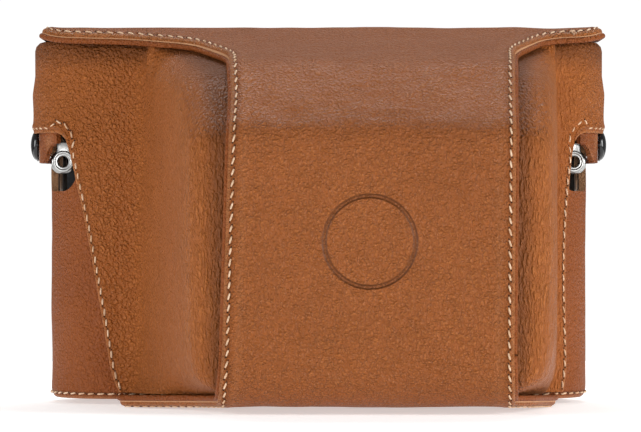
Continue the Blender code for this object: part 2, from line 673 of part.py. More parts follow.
def body_section(side, z, draw):
    """Plan of the cover's body from the back to where a nose wall starts: places with inward normals."""
    end = end_half(z)
    rear = COVER_REAR - RIM_DEPTH
    corner = BODY_CORNER - FACE_Y
    foot_radius = {LEFT: 4.5 - 3.0 * draw, RIGHT: 1.6 - 0.6 * draw}[side]
    crease, ahead = wall_outward(side, FACE_Y, draw), wall_outward(side, FRONT_END_Y, draw)
    foot_turn = math.atan2(FACE_Y - FRONT_END_Y, crease - ahead)
    foot_x = crease + foot_radius * math.tan(foot_turn / 2)
    arc = [(end - corner + corner * math.cos(math.radians(a)), BODY_CORNER - corner * math.sin(math.radians(a)))
           for a in range(0, 91, 6)]
    arc = [p for p in arc if p[0] > foot_x + 0.2]
    crease_y = FACE_Y
    if crease > end - corner:
        crease_y = BODY_CORNER - math.sqrt(corner ** 2 - (crease - end + corner) ** 2)
    line = rounded([(47.0, rear), (end, rear, BODY_CORNER)] + arc
                   + [(crease, crease_y, foot_radius), (ahead, FRONT_END_Y)], math.radians(6))
    along = lengths(line)
    front = [i for i, p in enumerate(line) if p.y < BODY_CORNER]
    hem = max(interpolate(z, *HEMS[side]), foot_x + 0.3)
    hem_index = next(i for i in front if line[i].x <= hem)
    a, b = line[hem_index - 1], line[hem_index]
    hem_s = along[hem_index - 1] + (b - a).length * (a.x - hem) / (a.x - b.x)
    foot_start = next(along[i] for i in front if line[i].x <= foot_x + 0.05)
    marks = [(0, END_COLUMNS), (hem_s, HEM_COLUMNS), (foot_start, FOOT_COLUMNS), (along[-2], 0)]
    section = []
    for (s0, count), (s1, _) in zip(marks, marks[1:]):
        for i in range(count):
            section.append(s0 + (s1 - s0) * i / count)
    section.append(along[-2])
    result = []
    for s in section:
        point, way = point_at(line, along, s)
        result.append((point, Vector((way.y, -way.x))))
    return result


def side_surface(side, depth):
    """Points of a side panel at a depth under its outer face, by row and column, and its cells."""
    stations = rim_stations()
    first_end = END_COLUMNS
    body_columns = END_COLUMNS + HEM_COLUMNS + FOOT_COLUMNS
    hem_row = 9
    z_low, z_high = stations[hem_row][1][1], stations[-1][1][1]
    grid = {}
    for i, (edge, wall, draw) in enumerate(stations):
        z_row = wall[1]
        for j, (spot, inward) in enumerate(body_section(side, z_row, draw)):
            z = z_row
            if i < 5:
                foot = floor_height(spot.y)
                t = (z_row - floor_height(-44.0)) / (FOOT_HEIGHT - floor_height(-44.0))
                z = foot + (FOOT_HEIGHT - foot) * t
            blend = min(1.0, max(0.0, 1 - (j - first_end) / HEM_COLUMNS))
            if i >= hem_row:
                z += blend * (COVER_HEM - z_low) * (z_high - z_row) / (z_high - z_low)
            grid[i, j] = Vector((spot.x, spot.y, z))
        start = grid[i, body_columns]
        for k in range(1, WALL_COLUMNS + 1):
            y = start.y + (wall[0] - start.y) * k / WALL_COLUMNS
            z = z_row
            if i < 5:
                foot = floor_height(y)
                t = (z_row - floor_height(-44.0)) / (FOOT_HEIGHT - floor_height(-44.0))
                z = foot + (FOOT_HEIGHT - foot) * t
            grid[i, body_columns + k] = Vector((wall_outward(side, y, draw), y, z))
        s = min(SAMPLES, key=lambda p: (p[1] - edge[0]) ** 2 + (p[2] - edge[1]) ** 2)[0]
        brow = wall_outward(side, wall[0], draw)
        tuck = half_width(side, s) - 3.0
        shelf = max(half_width(side, s) + 1.5, brow - 8.5)
        shelf = min(shelf, brow - 2.0)
        tuck = min(tuck, shelf - 2.0)
        column = body_columns + WALL_COLUMNS
        for k in range(1, SHOULDER_COLUMNS + 1):
            angle = math.pi / 2 * (1 - k / SHOULDER_COLUMNS)
            t = 1 - math.cos(angle)
            grid[i, column + k] = Vector((shelf + (brow - shelf) * math.sin(angle),
                                          edge[0] + (wall[0] - edge[0]) * t, edge[1] + (wall[1] - edge[1]) * t))
        grid[i, column + SHOULDER_COLUMNS + 1] = Vector((tuck, *edge))
    count, last = len(stations), body_columns + WALL_COLUMNS + SHOULDER_COLUMNS + 1
    radius = 2.5
    extra = [(0.0, 0.5, 0.0)] + [(1 - math.cos(a), 1.0, math.sin(a)) for a in (0.001, 0.52, 1.05, 1.57)]
    extra += [(1.9, 1.0, 1.0)]
    section = body_section(side, z_high, 0.0)
    for row, (inset, climb, rise) in enumerate(extra):
        for j, (spot, inward) in enumerate(section):
            place = spot + inward * inset * radius
            roof = roof_height(spot.y) - radius
            z = z_high + (roof - z_high) * climb + rise * radius
            grid[count + row, j] = Vector((place.x, place.y, z))
    cells = [(i, j) for i in range(count - 1) for j in range(last) if j >= END_COLUMNS or i >= hem_row]
    cells += [(count - 1 + i, j) for i in range(len(extra)) for j in range(body_columns)]
    placed = {key: Vector((side * p.x, p.y, p.z)) for key, p in grid.items()}
    if depth == 0:
        return placed, cells
    sunk = {}
    for (i, j), point in placed.items():
        along = placed.get((i, j + 1), point) - placed.get((i, j - 1), point)
        up = placed.get((i + 1, j), point) - placed.get((i - 1, j), point)
        spot = point + (along.cross(up) * side).normalized() * depth
        if i < 3:
            spot.z = max(spot.z, placed[0, j].z + 0.3 * i)
        sunk[i, j] = spot
    return sunk, cells


def side_panel(side, label):
    """Moulded grained panel: over the end of the case, down its front and along the nose."""
    outer, cells = side_surface(side, 0)
    inner, _ = side_surface(side, SIDE_LEATHER)
    thick_sheet(f"cover_side_{label}", outer, inner, cells, material("grained_leather", (0.38, 0.15, 0.05)))


def side_lining(side, label):
    """Suede on the inside of one wall of the nose."""
    outer, _ = side_surface(side, SIDE_LEATHER + GAP)
    inner, _ = side_surface(side, SIDE_LEATHER + GAP + 0.7)
    first = END_COLUMNS + HEM_COLUMNS + FOOT_COLUMNS + 1
    cells = [(i, j) for i in range(4, 11) for j in range(first, first + WALL_COLUMNS - 2)]
    thick_sheet(f"nose_lining_{label}", outer, inner, cells, material("suede", (0.35, 0.22, 0.13), 0.9))


def front_cover():
    """Centre panel, welts, side panels and linings."""
    smooth = material("smooth_leather", (0.42, 0.17, 0.06))
    panel = centre_sheet("cover_centre_panel", (0.0, LEATHER), 0.0, 0.0, PROFILE_END, 16, 4, smooth)
    cut(panel, hole_cutter("cutter_cover_back", (0, COVER_REAR, STRAP_STUD_Z), (0, 1, 0)))
    centre_sheet("cover_front_lining", (LEATHER + GAP, LEATHER + GAP + 0.7), 2.6, s_at_bottom(-5),
                 s_at_top(33), 10, 3, material("suede", (0.35, 0.22, 0.13), 0.9))
    for side, label in ((LEFT, "left"), (RIGHT, "right")):
        welt(side, label)
        side_panel(side, label)
        side_lining(side, label)


# ---------------------------------------------------------------- closing strap

STRAP_HALF = 9.0
STRAP_Y = COVER_REAR + 1.7
STRAP_HINGE_Z = 62.0


def strap_outline(low, high, tip):
    """Front view of a strap: straight sides and a round tip of the given radius."""
    line = rounded([(0, low), (STRAP_HALF, low), (STRAP_HALF, high, tip), (-STRAP_HALF, high, tip),
                    (-STRAP_HALF, low), (0, low)])
    return line[:-1]


def upright_plate(name, outline, near, far, paint):
    """Plate between two planes of constant y, with an outline in x and z."""
    bm = bmesh.new()
    front = [bm.verts.new((p.x, near, p.y)) for p in outline]
    back = [bm.verts.new((p.x, far, p.y)) for p in outline]
    bm.faces.new(front)
    bm.faces.new(back)
    for i in range(len(outline)):
        j = (i + 1) % len(outline)
        bm.faces.new([front[i], front[j], back[j], back[i]])
    return finish_mesh(name, bm, paint)


def closing_strap():
    """Strap from the half case's back to the press stud on the cover's back, and its sewn end."""
    smooth = material("smooth_leather", (0.42, 0.17, 0.06))
    upright_plate("strap_anchor", strap_outline(40.0, 60.5, 0.5), BODY_DEPTH + GAP,
                  BODY_DEPTH + GAP + LEATHER, smooth)
    strap = upright_plate("closing_strap", strap_outline(STRAP_HINGE_Z, 91.0, 8.9), STRAP_Y,
                          STRAP_Y + LEATHER, smooth)
    cut(strap, hole_cutter("cutter_strap", (0, STRAP_Y, STRAP_STUD_Z), (0, 1, 0)))
    press_stud(("strap_cap", "strap_socket", "strap_stud", "strap_post"), (0, COVER_REAR, STRAP_STUD_Z),
               (0, 1, 0), STRAP_Y - COVER_REAR, LEATHER, LEATHER, 1.3)


def build():
    """Remove what the file holds and model the case."""
    global case_frame
    for old in list(bpy.data.objects):
        bpy.data.objects.remove(old)
    case_frame = bpy.data.objects.new("case_frame", None)
    case_frame.location = (0, -CENTRE_Y * MM, 0)
    bpy.context.collection.objects.link(case_frame)
    half_case()
    for side, label in ((LEFT, "left"), (RIGHT, "right")):
        lug_tab(side, label)
        tab_anchor(side, label)
        lug(side, label)
        press_stud((f"tab_cap_{label}", f"tab_socket_{label}", f"tab_stud_{label}", f"tab_post_{label}"),
                   (side * TAB_STUD.x, TAB_STUD.y, TAB_STUD.z), (side, 0, 0), 1.6, LEATHER,
                   WALL + 0.8 + GAP)
    front_cover()
    closing_strap()


build()
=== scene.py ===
"""Looks of a tan leather ever ready case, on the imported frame. Case coordinates are millimetres."""
import math

import bmesh
import bpy
import numpy as np
from mathutils import Matrix, Vector, noise

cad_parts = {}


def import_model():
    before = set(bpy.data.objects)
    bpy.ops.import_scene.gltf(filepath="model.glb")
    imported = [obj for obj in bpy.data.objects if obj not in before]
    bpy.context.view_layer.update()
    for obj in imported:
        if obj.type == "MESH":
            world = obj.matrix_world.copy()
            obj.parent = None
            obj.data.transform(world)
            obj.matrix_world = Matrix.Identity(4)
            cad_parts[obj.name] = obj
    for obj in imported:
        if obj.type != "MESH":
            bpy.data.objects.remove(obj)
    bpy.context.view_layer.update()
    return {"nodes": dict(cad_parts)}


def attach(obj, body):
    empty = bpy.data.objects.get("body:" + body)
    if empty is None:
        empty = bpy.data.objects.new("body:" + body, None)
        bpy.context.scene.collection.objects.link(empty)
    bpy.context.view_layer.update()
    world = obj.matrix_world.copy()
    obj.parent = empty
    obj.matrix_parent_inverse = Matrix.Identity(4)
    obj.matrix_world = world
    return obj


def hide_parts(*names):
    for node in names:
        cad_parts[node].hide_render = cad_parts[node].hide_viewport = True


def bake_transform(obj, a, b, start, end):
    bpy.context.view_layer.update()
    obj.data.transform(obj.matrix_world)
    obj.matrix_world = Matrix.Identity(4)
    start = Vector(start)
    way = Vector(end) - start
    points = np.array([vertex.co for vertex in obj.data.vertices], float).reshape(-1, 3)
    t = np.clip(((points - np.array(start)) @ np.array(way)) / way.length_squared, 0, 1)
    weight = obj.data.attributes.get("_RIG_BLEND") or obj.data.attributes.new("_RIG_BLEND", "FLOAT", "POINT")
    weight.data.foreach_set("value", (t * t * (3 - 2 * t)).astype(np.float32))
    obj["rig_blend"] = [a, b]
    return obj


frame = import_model()

MM = 0.001
LEFT, RIGHT = -1, 1
SIDES = ((LEFT, "left"), (RIGHT, "right"))
CENTRE_Y = -4.25                              # middle of the case, front to back
HINGE_GAP = 1.5                               # from the half case's front to the cover's fold

# Half case: its wall, and the notches at its front corners for the strap lugs
BODY_HALF, BODY_DEPTH, BODY_CORNER = 68.0, 40.0, 17.0
WALL, WALL_FOOT, REAR_TOP, FRONT_TOP = 1.8, 1.3, 69.2, 60.0
NOTCH_FOOT, NOTCH_HALF, NOTCH_ANGLE = 53.4, 7.6, math.radians(28)
STUD_Y, STUD_Z = 20.0, 65.2                   # press studs on the ends
LEATHER = 1.4

# Front cover: the centre panel's profile and edge, and the moulded side panels
NOSE_X, NOSE_FRONT, BEVEL_LOW, BEVEL_HIGH = 12.4, -55.0, 68.0, (-38.5, 84.5)
TOP, COVER_REAR, COVER_HEM = 94.6, 41.0, 69.7
RIM_DEPTH, SHOULDER_Y, FACE_Y = 3.1, -51.9, -1.9
END_TOP = {LEFT: 69.4, RIGHT: 71.3}           # reach of the crown over each end
STITCH_PITCH, STITCH_IN = 2.67, 1.3           # between stitches, and in from an edge


def world(p):
    """World place of a point in case coordinates."""
    return Vector((p[0] * MM, (p[1] - CENTRE_Y) * MM, p[2] * MM))


# ---------------------------------------------------------------- materials

class Value:
    """A shader node's output. Arithmetic on it adds maths nodes to the same tree."""

    def __init__(self, socket):
        self.socket, self.tree = socket, socket.id_data

    def maths(self, operation, *others):
        node = self.tree.nodes.new("ShaderNodeMath")
        node.operation = operation
        for given, value in zip(node.inputs, others):
            wire(value, given)
        return Value(node.outputs[0])

    def __add__(self, other):
        return self.maths("ADD", self, other)

    def __sub__(self, other):
        return self.maths("SUBTRACT", self, other)

    def __rsub__(self, other):
        return self.maths("SUBTRACT", other, self)

    def __mul__(self, other):
        return self.maths("MULTIPLY", self, other)

    def __abs__(self):
        return self.maths("ABSOLUTE", self)

    def root(self):
        return self.maths("SQRT", self)

    def clamped(self):
        """The same value, held between 0 and 1."""
        self.socket.node.use_clamp = True
        return self

    def ranged(self, low, high, to_low=0.0, to_high=1.0):
        """The value mapped from one range to another, and held inside it."""
        node = self.tree.nodes.new("ShaderNodeMapRange")
        for given, value in zip(node.inputs, (self, low, high, to_low, to_high)):
            wire(value, given)
        return Value(node.outputs[0])


def wire(value, socket):
    """Give a node's input a Value, a number, or a colour."""
    if isinstance(value, Value):
        value.tree.links.new(value.socket, socket)
    elif isinstance(value, tuple):
        socket.default_value = (*value, 1)
    else:
        socket.default_value = value


def mixed(factor, a, b):
    """Colour between a and b."""
    node = factor.tree.nodes.new("ShaderNodeMix")
    node.data_type = "RGBA"
    for index, value in ((0, factor), (6, a), (7, b)):
        wire(value, node.inputs[index])
    return Value(node.outputs[2])


def texture(kind, where, scale, output=0, **settings):
    """One texture node at the places in where."""
    node = where.tree.nodes.new(f"ShaderNodeTex{kind}")
    wire(where, node.inputs["Vector"])
    node.inputs["Scale"].default_value = scale
    for key, value in settings.items():
        if key in node.inputs:
            node.inputs[key].default_value = value
        else:
            setattr(node, key, value)
    return Value(node.outputs[output])


def stretched(where, stretch):
    mapping = where.tree.nodes.new("ShaderNodeMapping")
    mapping.inputs["Scale"].default_value = stretch
    wire(where, mapping.inputs["Vector"])
    return Value(mapping.outputs[0])


def split(where):
    """The three coordinates of a place."""
    node = where.tree.nodes.new("ShaderNodeSeparateXYZ")
    wire(where, node.inputs[0])
    return [Value(output) for output in node.outputs]


def started(name):
    """New material: itself, its shader and the object's coordinates."""
    made = bpy.data.materials.new(name)
    made.use_nodes = True
    nodes = made.node_tree.nodes
    return made, nodes["Principled BSDF"], Value(nodes.new("ShaderNodeTexCoord").outputs["Object"])


def finished(shader, colour, rough, height, distance, strength=1.0):
    """Wire colour, roughness, and a bump of a height times a distance in metres."""
    bump = height.tree.nodes.new("ShaderNodeBump")
    bump.inputs["Strength"].default_value = strength
    bump.inputs["Distance"].default_value = distance
    wire(height, bump.inputs["Height"])
    wire(Value(bump.outputs[0]), shader.inputs["Normal"])
    wire(colour, shader.inputs["Base Color"])
    wire(rough, shader.inputs["Roughness"])


WORN_AND_HIGHLIT = (0.50, 0.23, 0.10)                    # where edges are worn pale, and where highlights are painted on rolled edges and shoulders
RING_X, RING_Z, RING_RADIUS = 12.2, 41.1, 10.8  # the plain ring pressed into the nose
FLANK_NEAR, FLANK_FAR = 44.0, 56.0             # the drawn grain fades out between these distances


def pebbles(where, cell):
    """Height of pebbled grain with cells of a size in millimetres, small ones between the large."""
    wide = texture("Voronoi", where, 1000.0 / cell, feature="SMOOTH_F1", Smoothness=0.25)
    small = texture("Voronoi", where, 2100.0 / cell, feature="F1")
    return wide.ranged(0.05, 0.7, 1.0, 0.0) + small.ranged(0.0, 0.8, 0.35, 0.0)


def ring_groove(x, y, z):
    """1 in the pressed ring on the nose's front, and 0 elsewhere."""
    dx, dz = x - RING_X * MM, z - RING_Z * MM
    off = abs((dx * dx + dz * dz).root() - RING_RADIUS * MM)
    return off.ranged(0.25 * MM, 0.62 * MM, 1.0, 0.0) * y.ranged(-0.049, -0.0478, 1.0, 0.0)


def leather(name, light, dark, cell, grain, rough, drawn=False, ring=False):
    """Leather with pebbled grain of a cell size in millimetres, faint mottling, pores and burnished edges.

    The point attribute tone darkens where it is below 0, as painted shade in grooves, creases, recesses and under the
    crown, and lightens above 0, towards worn pale edges and painted highlights on rolled edges and shoulders. With
    drawn, the grain is stretched upright along the flanks of the nose, where the leather was pulled over the mould.
    """
    made, shader, where = started(name)
    x, y, z = split(where)
    shift = where.tree.nodes.new("ShaderNodeVectorMath")
    shift.operation = "MULTIPLY_ADD"
    wire(texture("Noise", where, 700.0, output=1, Detail=2.0), shift.inputs[0])
    shift.inputs[1].default_value = (0.0011, 0.0011, 0.0011)
    wire(where, shift.inputs[2])
    warped = Value(shift.outputs[0])
    bumps = pebbles(warped, cell)
    if drawn:
        share = abs(x - NOSE_X * MM).ranged(FLANK_NEAR * MM, FLANK_FAR * MM, 1.0, 0.0)
        pulled = pebbles(stretched(warped, (1.25, 1.25, 0.34)), cell)
        bumps = pulled * share + bumps * (1.0 - share)
    fine = texture("Noise", where, 3600.0, Detail=4.0, Roughness=0.7)
    cloud = texture("Noise", where, 30.0, Detail=5.0, Roughness=0.6)
    patch = texture("Noise", where, 190.0, Detail=5.0, Roughness=0.65)
    height = bumps * patch.ranged(0.3, 0.7, 0.65, 1.15) + fine * 0.3 + patch * 0.9
    node = where.tree.nodes.new("ShaderNodeAttribute")
    node.attribute_name = "tone"
    tone = Value(node.outputs["Fac"])
    mottle = cloud.ranged(0.3, 0.7, 0.25, 0.6) + patch.ranged(0.3, 0.7, -0.1, 0.16)
    factor = (mottle + bumps.ranged(0.2, 1.2, -0.26 * grain, 0.16 * grain)).clamped()
    colour = mixed(factor, dark, light)
    # Negative tone: painted shade, darkening towards deep brown in grooves, creases, recesses and under the crown
    colour = mixed((tone * -1.0).clamped(), colour, tuple(c * 0.14 for c in dark))
    # Positive tone: worn pale edges, and painted highlights on rolled edges and shoulders
    wear_and_highlight = (tone * 1.0).clamped() * patch.ranged(0.25, 0.6, 0.6, 1.0)
    colour = mixed(wear_and_highlight, colour, WORN_AND_HIGHLIT)
    if ring:
        groove = ring_groove(x, y, z)
        height = height - groove * 3.0
        colour = mixed(groove * 0.45, colour, tuple(c * 0.4 for c in dark))
    polish = patch.ranged(0.25, 0.75, rough - 0.06, rough + 0.08) + bumps * -0.05
    finished(shader, colour, polish, height, 0.00032 * grain)
    shader.inputs["Specular IOR Level"].default_value = 0.24
    return made


def suede(name, light, dark):
    """Napped flesh side of leather."""
    made, shader, where = started(name)
    nap = texture("Noise", where, 1500.0, Detail=8.0, Roughness=0.8)
    cloud = texture("Noise", where, 60.0, Detail=6.0, Roughness=0.6)
    factor = nap.ranged(0.3, 0.7, 0.0, 0.5) + cloud.ranged(0.3, 0.7, 0.0, 0.5)
    finished(shader, mixed(factor, dark, light), nap.ranged(0.2, 0.8, 0.85, 1.0), nap, 0.0002)
    shader.inputs["Sheen Weight"].default_value = 0.35
    return made


def metal(name, colour, rough, metallic, scratched=0.25):
    """Polished or lacquered metal with fine scratches and dull patches."""
    made, shader, where = started(name)
    lines = texture("Noise", stretched(where, (1, 1, 0.2)), 2600.0, Detail=6.0, Roughness=0.7)
    dull = texture("Noise", where, 300.0, Detail=5.0).ranged(0.35, 0.75, 0.0, scratched)
    duller = tuple(c * 0.55 + 0.02 for c in colour)
    polish = lines.ranged(0.3, 0.7, rough * 0.7, rough * 1.4) + dull
    finished(shader, mixed(dull, colour, duller), polish, lines, 0.00003, 0.3)
    shader.inputs["Metallic"].default_value = metallic
    return made


def thread_material():
    """Waxed linen thread with twist and grime."""
    made, shader, where = started("thread")
    twist = texture("Wave", where, 900.0, output=1, Distortion=1.0, Detail=2.0)
    cloud = texture("Noise", where, 240.0, Detail=4.0)
    colour = mixed(cloud.ranged(0.3, 0.7), (0.60, 0.36, 0.20), (0.86, 0.64, 0.45))
    colour = mixed(twist * 0.25, colour, (0.42, 0.22, 0.11))
    finished(shader, colour, 0.62, twist, 0.0001)
    return made


SMOOTH = leather("smooth_leather", (0.50, 0.160, 0.036), (0.32, 0.090, 0.0165), 0.7, 2.6, 0.47, ring=True)
GRAINED = leather("grained_leather", (0.505, 0.162, 0.037), (0.32, 0.091, 0.016), 0.85, 2.6, 0.48, drawn=True)
CASE = leather("case_leather", (0.325, 0.090, 0.0165), (0.205, 0.050, 0.0075), 0.75, 1.3, 0.5)
RAW = leather("raw_edge", (0.62, 0.34, 0.18), (0.40, 0.20, 0.10), 0.5, 0.5, 0.72)
FLESH = suede("flesh_side", (0.36, 0.22, 0.13), (0.20, 0.11, 0.06))
SUEDE = suede("suede", (0.30, 0.17, 0.09), (0.16, 0.08, 0.04))
BOARD = suede("board", (0.22, 0.16, 0.11), (0.11, 0.08, 0.05))
BLACK = metal("black_enamel", (0.006, 0.006, 0.007), 0.12, 0.0, 0.12)
NICKEL = metal("nickel", (0.62, 0.60, 0.56), 0.22, 1.0)
STEEL = metal("steel", (0.40, 0.40, 0.39), 0.26, 1.0)
THREAD = thread_material()
# Painted shade: near-black discs laid on the leather where the needle holes are
HOLE_SHADE = leather("needle_hole", (0.07, 0.026, 0.01), (0.035, 0.012, 0.005), 0.6, 0.4, 0.9)


# ---------------------------------------------------------------- outlines

def rounded(corners, step_angle=math.radians(5)):
    """Polyline through corners (a, b, radius), each corner turned into an arc."""
    points = [Vector(corners[0][:2])]
    for before, corner, after in zip(corners, corners[1:], corners[2:]):
        here = Vector(corner[:2])
        back = (Vector(before[:2]) - here).normalized()
        ahead = (Vector(after[:2]) - here).normalized()
        turn = math.pi - back.angle(ahead)
        radius = corner[2] if len(corner) > 2 else 0.0
        if radius <= 0 or turn < 0.02:
            points.append(here)
            continue
        reach = radius * math.tan(turn / 2)
        centre = here + (back + ahead).normalized() * (radius / math.cos(turn / 2))
        first = here + back * reach - centre
        steps = max(2, math.ceil(turn / step_angle))
        sign = 1 if back.x * ahead.y - back.y * ahead.x < 0 else -1
        for i in range(steps + 1):
            angle = sign * turn * i / steps
            points.append(centre + Vector((first.x * math.cos(angle) - first.y * math.sin(angle),
                                           first.x * math.sin(angle) + first.y * math.cos(angle))))
    points.append(Vector(corners[-1][:2]))
    return points


def lengths(points):
    total = [0.0]
    for a, b in zip(points, points[1:]):
        total.append(total[-1] + (b - a).length)
    return total


def interpolate(value, xs, ys):
    """Straight-line interpolation in a table with rising xs, held at its ends."""
    return float(np.interp(value, xs, ys))


def point_at(points, distances, s):
    """Point and unit direction at distance s along a polyline."""
    i = min(max(int(np.searchsorted(distances, s)) - 1, 0), len(points) - 2)
    a, b = points[i], points[i + 1]
    step = (b - a).length
    return a + (b - a) * ((s - distances[i]) / step), (b - a) / step


PROFILE = rounded([(-HINGE_GAP, 0.0), (-12.0, 0.0, 30.0), (NOSE_FRONT, 1.8, 10.0), (NOSE_FRONT, BEVEL_LOW, 9.0),
                   (*BEVEL_HIGH, 14.0), (1.5, TOP, 14.0), (COVER_REAR, TOP, 6.0), (COVER_REAR, COVER_HEM)])
PROFILE_S = lengths(PROFILE)
PROFILE_END = PROFILE_S[-1]


def profile_at(s, depth=0.0):
    """(y, z) on the centre panel at arc length s, at a depth under its outer face."""
    point, way = point_at(PROFILE, PROFILE_S, s)
    before = point_at(PROFILE, PROFILE_S, max(s - 0.9, 0.01))[1]
    after = point_at(PROFILE, PROFILE_S, min(s + 0.9, PROFILE_END - 0.01))[1]
    way = (before + way + after).normalized()
    return point.x + way.y * depth, point.y - way.x * depth


SAMPLES = [(PROFILE_END * i / 900, *profile_at(PROFILE_END * i / 900)) for i in range(901)]
S_BOTTOM_END = min(SAMPLES, key=lambda p: abs(p[1] - NOSE_FRONT) + abs(p[2] - 12))[0]
S_FRONT_END = min(SAMPLES, key=lambda p: abs(p[1] - NOSE_FRONT) + abs(p[2] - 64))[0]
S_TOP_END = min(SAMPLES, key=lambda p: abs(p[1] - COVER_REAR) + abs(p[2] - 86))[0]
FRONT_MID_S = (S_BOTTOM_END + S_FRONT_END) / 2


Y, Z = 1, 2


def s_where(axis, value, low, high):
    """Arc length between low and high at which the profile comes nearest to a value of Y or Z."""
    return min((p for p in SAMPLES if low <= p[0] <= high), key=lambda p: abs(p[axis] - value))[0]


def s_at_bottom(y):
    return s_where(Y, y, 0.0, S_BOTTOM_END)


def s_at_front(z):
    return s_where(Z, z, S_BOTTOM_END, S_FRONT_END)


def s_at_top(y):
    return s_where(Y, y, S_FRONT_END, S_TOP_END)


def s_at_back(z):
    return s_where(Z, z, S_TOP_END, math.inf)


FLOOR = [profile_at(p[0], RIM_DEPTH) for p in SAMPLES if p[1] > -44 and p[0] < FRONT_MID_S]
ROOF = [profile_at(p[0], RIM_DEPTH) for p in SAMPLES if FRONT_MID_S < p[0] <= S_TOP_END]


def floor_height(y):
    return interpolate(-y, [-p[0] for p in FLOOR], [p[1] for p in FLOOR])


def roof_height(y):
    return interpolate(y, [p[0] for p in ROOF], [p[1] for p in ROOF])


def panel_outline(side):
    """Edge of the centre panel as (arc length, outward) points, from the hinge to the back."""
    foot = {LEFT: [(s_at_bottom(-HINGE_GAP), 49.0), (s_at_bottom(-14.5), 49.0, 3), (s_at_bottom(-18.5), 43.5, 5),
                   (s_at_bottom(-32), 29.8, 6), (s_at_bottom(-42), 24.4, 4)],
            RIGHT: [(s_at_bottom(-HINGE_GAP), 58.6), (s_at_bottom(-12), 58.6, 4), (s_at_bottom(-36), 52.0, 8),
                    (s_at_bottom(-44), 47.0, 4)]}[side]
    band = {LEFT: [(s_at_front(14), 22.9, 30), (s_at_front(47), 21.9, 200), (s_at_top(-46), 20.8, 60),
                   (s_at_top(-28), 21.8, 16), (s_at_top(-13), 31.0, 14), (s_at_top(-6.8), 47.0, 20)],
            RIGHT: [(s_at_front(14), 46.4, 30), (s_at_front(47), 46.7, 200), (s_at_top(-46), 47.0, 60),
                    (s_at_top(-23), 48.0, 20), (s_at_top(-5), 57.0, 12)]}[side]
    crown = [(s_at_top(-3.8), END_TOP[side], 9), (s_at_top(28), END_TOP[side], 12), (s_at_back(91), 52.0, 8),
             (PROFILE_END, 50.0)]
    return rounded(foot + band + crown, math.radians(4))


OUTLINES = {side: panel_outline(side) for side in (LEFT, RIGHT)}


def half_width(side, s):
    outline = OUTLINES[side]
    return interpolate(s, [p.x for p in outline], [p.y for p in outline])


# ---------------------------------------------------------------- mesh building

def made_object(name, bm, paints, body=None, sharp=None):
    """Turn a bmesh in case millimetres into an object in the row frame that rides on a body."""
    for vert in bm.verts:
        vert.co = world(vert.co)
    mesh = bpy.data.meshes.new(name)
    bm.to_mesh(mesh)
    bm.free()
    mesh.shade_smooth()
    if sharp:
        mesh.set_sharp_from_angle(angle=math.radians(sharp))
    for paint in paints:
        mesh.materials.append(paint)
    made = bpy.data.objects.new(name, mesh)
    bpy.context.collection.objects.link(made)
    if body:
        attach(made, body)
    return made


def shell(name, outer, inner, paints, body, tone=None, mask=None):
    """Closed sheet between two grids of points (rows x columns x 3). Its inner face and rim take other paints."""
    rows, columns = outer.shape[:2]
    mask = np.ones((rows - 1, columns - 1), bool) if mask is None else mask
    bm = bmesh.new()
    layer = bm.verts.layers.float.new("tone")
    top = [[bm.verts.new(outer[i, j]) for j in range(columns)] for i in range(rows)]
    under = [[bm.verts.new(inner[i, j]) for j in range(columns)] for i in range(rows)]
    uses = {}
    for i in range(rows - 1):
        for j in range(columns - 1):
            if not mask[i, j]:
                continue
            ring = [(i, j), (i, j + 1), (i + 1, j + 1), (i + 1, j)]
            bm.faces.new([top[a][b] for a, b in ring])
            bm.faces.new([under[a][b] for a, b in reversed(ring)]).material_index = 1
            for a, b in zip(ring, ring[1:] + ring[:1]):
                uses.setdefault(frozenset((a, b)), []).append((a, b))
    for used in uses.values():
        if len(used) == 1:
            a, b = used[0]
            face = bm.faces.new([top[b[0]][b[1]], top[a[0]][a[1]], under[a[0]][a[1]], under[b[0]][b[1]]])
            face.material_index = 2
    if tone is not None:
        for i in range(rows):
            for j in range(columns):
                top[i][j][layer] = tone[i, j]
    bmesh.ops.delete(bm, geom=[v for v in bm.verts if not v.link_faces], context="VERTS")
    if bm.calc_volume(signed=True) < 0:
        bmesh.ops.reverse_faces(bm, faces=bm.faces)
    return made_object(name, bm, paints, body, sharp=50)


def grids(rows, columns):
    """Empty outer face, inner face and tone of a sheet."""
    return np.zeros((rows, columns, 3)), np.zeros((rows, columns, 3)), np.zeros((rows, columns))


def skin(bm, rings, material=0, smooth=None):
    """Faces between rings of vertices, each ring closed on itself."""
    for a, b in zip(rings, rings[1:]):
        for i in range(len(a)):
            j = (i + 1) % len(a)
            face = bm.faces.new([a[i], a[j], b[j], b[i]])
            face.material_index = material
            if smooth:
                face.smooth = True


def capped(bm, rings):
    """A skin with its two ends closed."""
    skin(bm, rings)
    bm.faces.new(list(reversed(rings[0])))
    bm.faces.new(rings[-1])


def tube(bm, points, radius, sides):
    """Round strip along a line of points, closed at both ends."""
    rings = []
    for i, p in enumerate(points):
        way = (points[min(i + 1, len(points) - 1)] - points[max(i - 1, 0)]).normalized()
        spin = way.to_track_quat("Z", "Y").to_matrix()
        rings.append([bm.verts.new(p + spin @ Vector((radius * math.cos(2 * math.pi * k / sides),
                                                      radius * math.sin(2 * math.pi * k / sides), 0)))
                      for k in range(sides)])
    capped(bm, rings)


STITCH_LONG, STITCH_THICK, STITCH_RINGS, STITCH_SIDES = 2.0, 0.225, 7, 8


